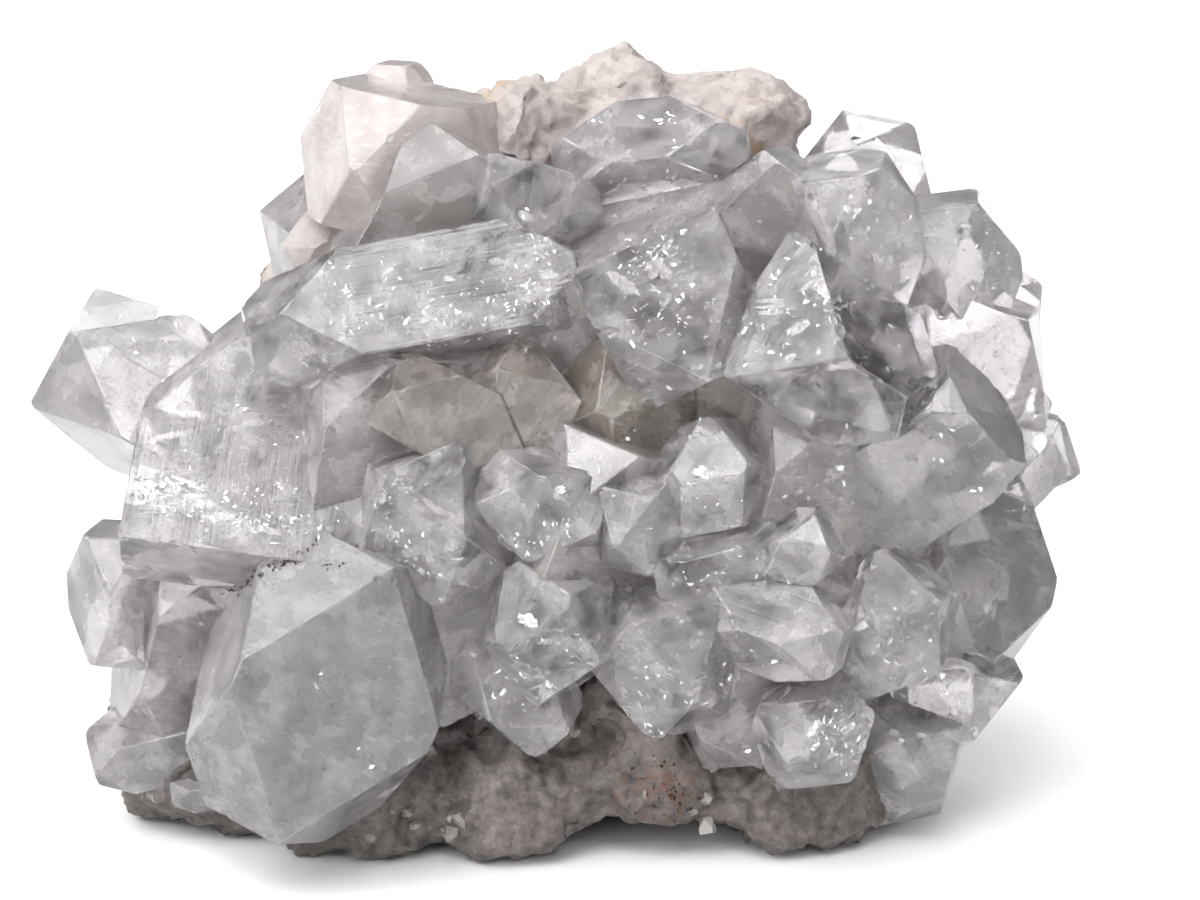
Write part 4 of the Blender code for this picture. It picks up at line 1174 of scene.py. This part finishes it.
druse = scatter("small_crystals", tree, druseSeeds(rockMesh, random.Random(druseShape["seed"])), druseShapes,
                druseApophyllite(), 4)

for obj, material in ((clearCrystals, clearApophyllite()), (milkyCrystals, milkyApophyllite()),
                      (hostRock, hostRockMaterial())):
    obj.data.materials.clear()
    obj.data.materials.append(material)

for node, slotName, pieces in (("crystal_cluster", "apophyllite",
                                (clearCrystals, milkyCrystals, shards, glints, cracks, specks)),
                               ("matrix", "host_rock", (dirt, hostRock, druse))):
    for piece in pieces:
        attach(piece, "root")
        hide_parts(node)
    print(node, [piece.name for piece in pieces])


studio = {
    "floorSize": 6.0,  # m
    "horizon": 0.21,  # how bright the room is level with the table, and overhead
    "overhead": 0.50,
    # soft boxes: direction, how far each reaches from its middle (cosines of its edge and core) and its brightness
    "softBoxes": (
        ((-0.42, -0.38, 0.82), 0.86, 0.93, 4.6),
        ((0.05, 0.70, 0.70), 0.90, 0.96, 2.8),
        ((-0.75, -0.62, 0.22), 0.955, 0.985, 4.0),
        ((0.30, -0.80, 0.52), 0.975, 0.990, 6.5),
        ((-0.25, -0.86, 0.40), 0.980, 0.992, 6.0),
        ((0.02, -0.60, 0.80), 0.980, 0.992, 6.0),
        ((-0.90, 0.35, 0.30), 0.93, 0.975, 2.0),
        ((0.92, -0.15, 0.36), 0.965, 0.99, 1.2),
    ),
    # dark flags, which give the clear faces their depth
    "flags": (
        ((0.10, -0.97, 0.10), 0.80, 0.95, 0.5),
        ((0.95, -0.30, -0.05), 0.75, 0.95, 0.45),
    ),
}


def buildFloor():
    bm = bmesh.new()
    bmesh.ops.create_grid(bm, x_segments=2, y_segments=2, size=studio["floorSize"] / 2)
    floor = newObject("floor", meshFrom(bm, "floor"))
    paper, tree = newMaterial("whitePaper")[:2]
    shader = addNode(tree, "ShaderNodeBsdfDiffuse", {"Color": "#F4F4F4", "Roughness": 0.0})
    addNode(tree, "ShaderNodeOutputMaterial", {"Surface": shader})
    floor.data.materials.append(paper)


def buildRoom():
    # a pale studio: all the light comes from the room itself, so it is soft everywhere
    world = bpy.data.worlds.new("studio")
    bpy.context.scene.world = world
    world.use_nodes = True
    world.cycles.sampling_method = "NONE"
    tree = world.node_tree
    tree.nodes.clear()
    direction = addNode(tree, "ShaderNodeTexCoord").outputs["Generated"]
    up = addNode(tree, "ShaderNodeSeparateXYZ", {0: direction}).outputs["Z"]
    light = addNode(tree, "ShaderNodeMapRange", {"Value": up, "To Min": studio["horizon"],
                                                 "To Max": studio["overhead"]})
    patches = [(*box[:3], "ADD", 0.0, box[3]) for box in studio["softBoxes"]]
    patches += [(*flag[:3], "MULTIPLY", 1.0, 1.0 - flag[3]) for flag in studio["flags"]]
    for toward, edge, core, operation, outside, inside in patches:
        facing = addNode(tree, "ShaderNodeVectorMath", {0: direction, 1: Vector(toward).normalized()},
                         operation="DOT_PRODUCT")
        patch = addNode(tree, "ShaderNodeMapRange", {"Value": facing, "From Min": edge, "From Max": core,
                                                     "To Min": outside, "To Max": inside},
                        interpolation_type="SMOOTHSTEP")
        light = addNode(tree, "ShaderNodeMath", {0: light, 1: patch}, operation=operation)
    glow = addNode(tree, "ShaderNodeBackground", {"Color": (1, 1, 1, 1), "Strength": light})
    addNode(tree, "ShaderNodeOutputWorld", {"Surface": glow})


cameraView = {
    "target": (4.575, -7.135, 46.6),  # mm
    "distance": 0.4,  # m
    "down": 15,  # degrees
    "lens": 100,  # mm
    "sensor": 36,  # mm
}

# how far light is followed through the clear crystals, and where extra samples stop
lightPaths = {
    "max_bounces": 10,
    "transmission_bounces": 9,
    "glossy_bounces": 4,
    "diffuse_bounces": 2,
    "transparent_max_bounces": 16,
    "sample_clamp_indirect": 6.0,
    "adaptive_threshold": 0.2,
}


def buildCamera():
    down = math.radians(cameraView["down"])
    camera = bpy.data.cameras.new("camera")
    camera.lens = cameraView["lens"]
    camera.sensor_width = cameraView["sensor"]
    camera.clip_start, camera.clip_end = 0.01, 20
    made = newObject("camera", camera)
    back = Vector((0, -math.cos(down), math.sin(down)))
    made.location = Vector(cameraView["target"]) * mm + back * cameraView["distance"]
    made.rotation_euler = (-back).to_track_quat("-Z", "Y").to_euler()
    bpy.context.scene.camera = made


buildFloor()
buildRoom()
buildCamera()
bpy.context.scene.view_settings.view_transform = "Standard"
for setting, value in lightPaths.items():
    setattr(bpy.context.scene.cycles, setting, value)
print("studio", len(studio["softBoxes"]), "soft boxes")
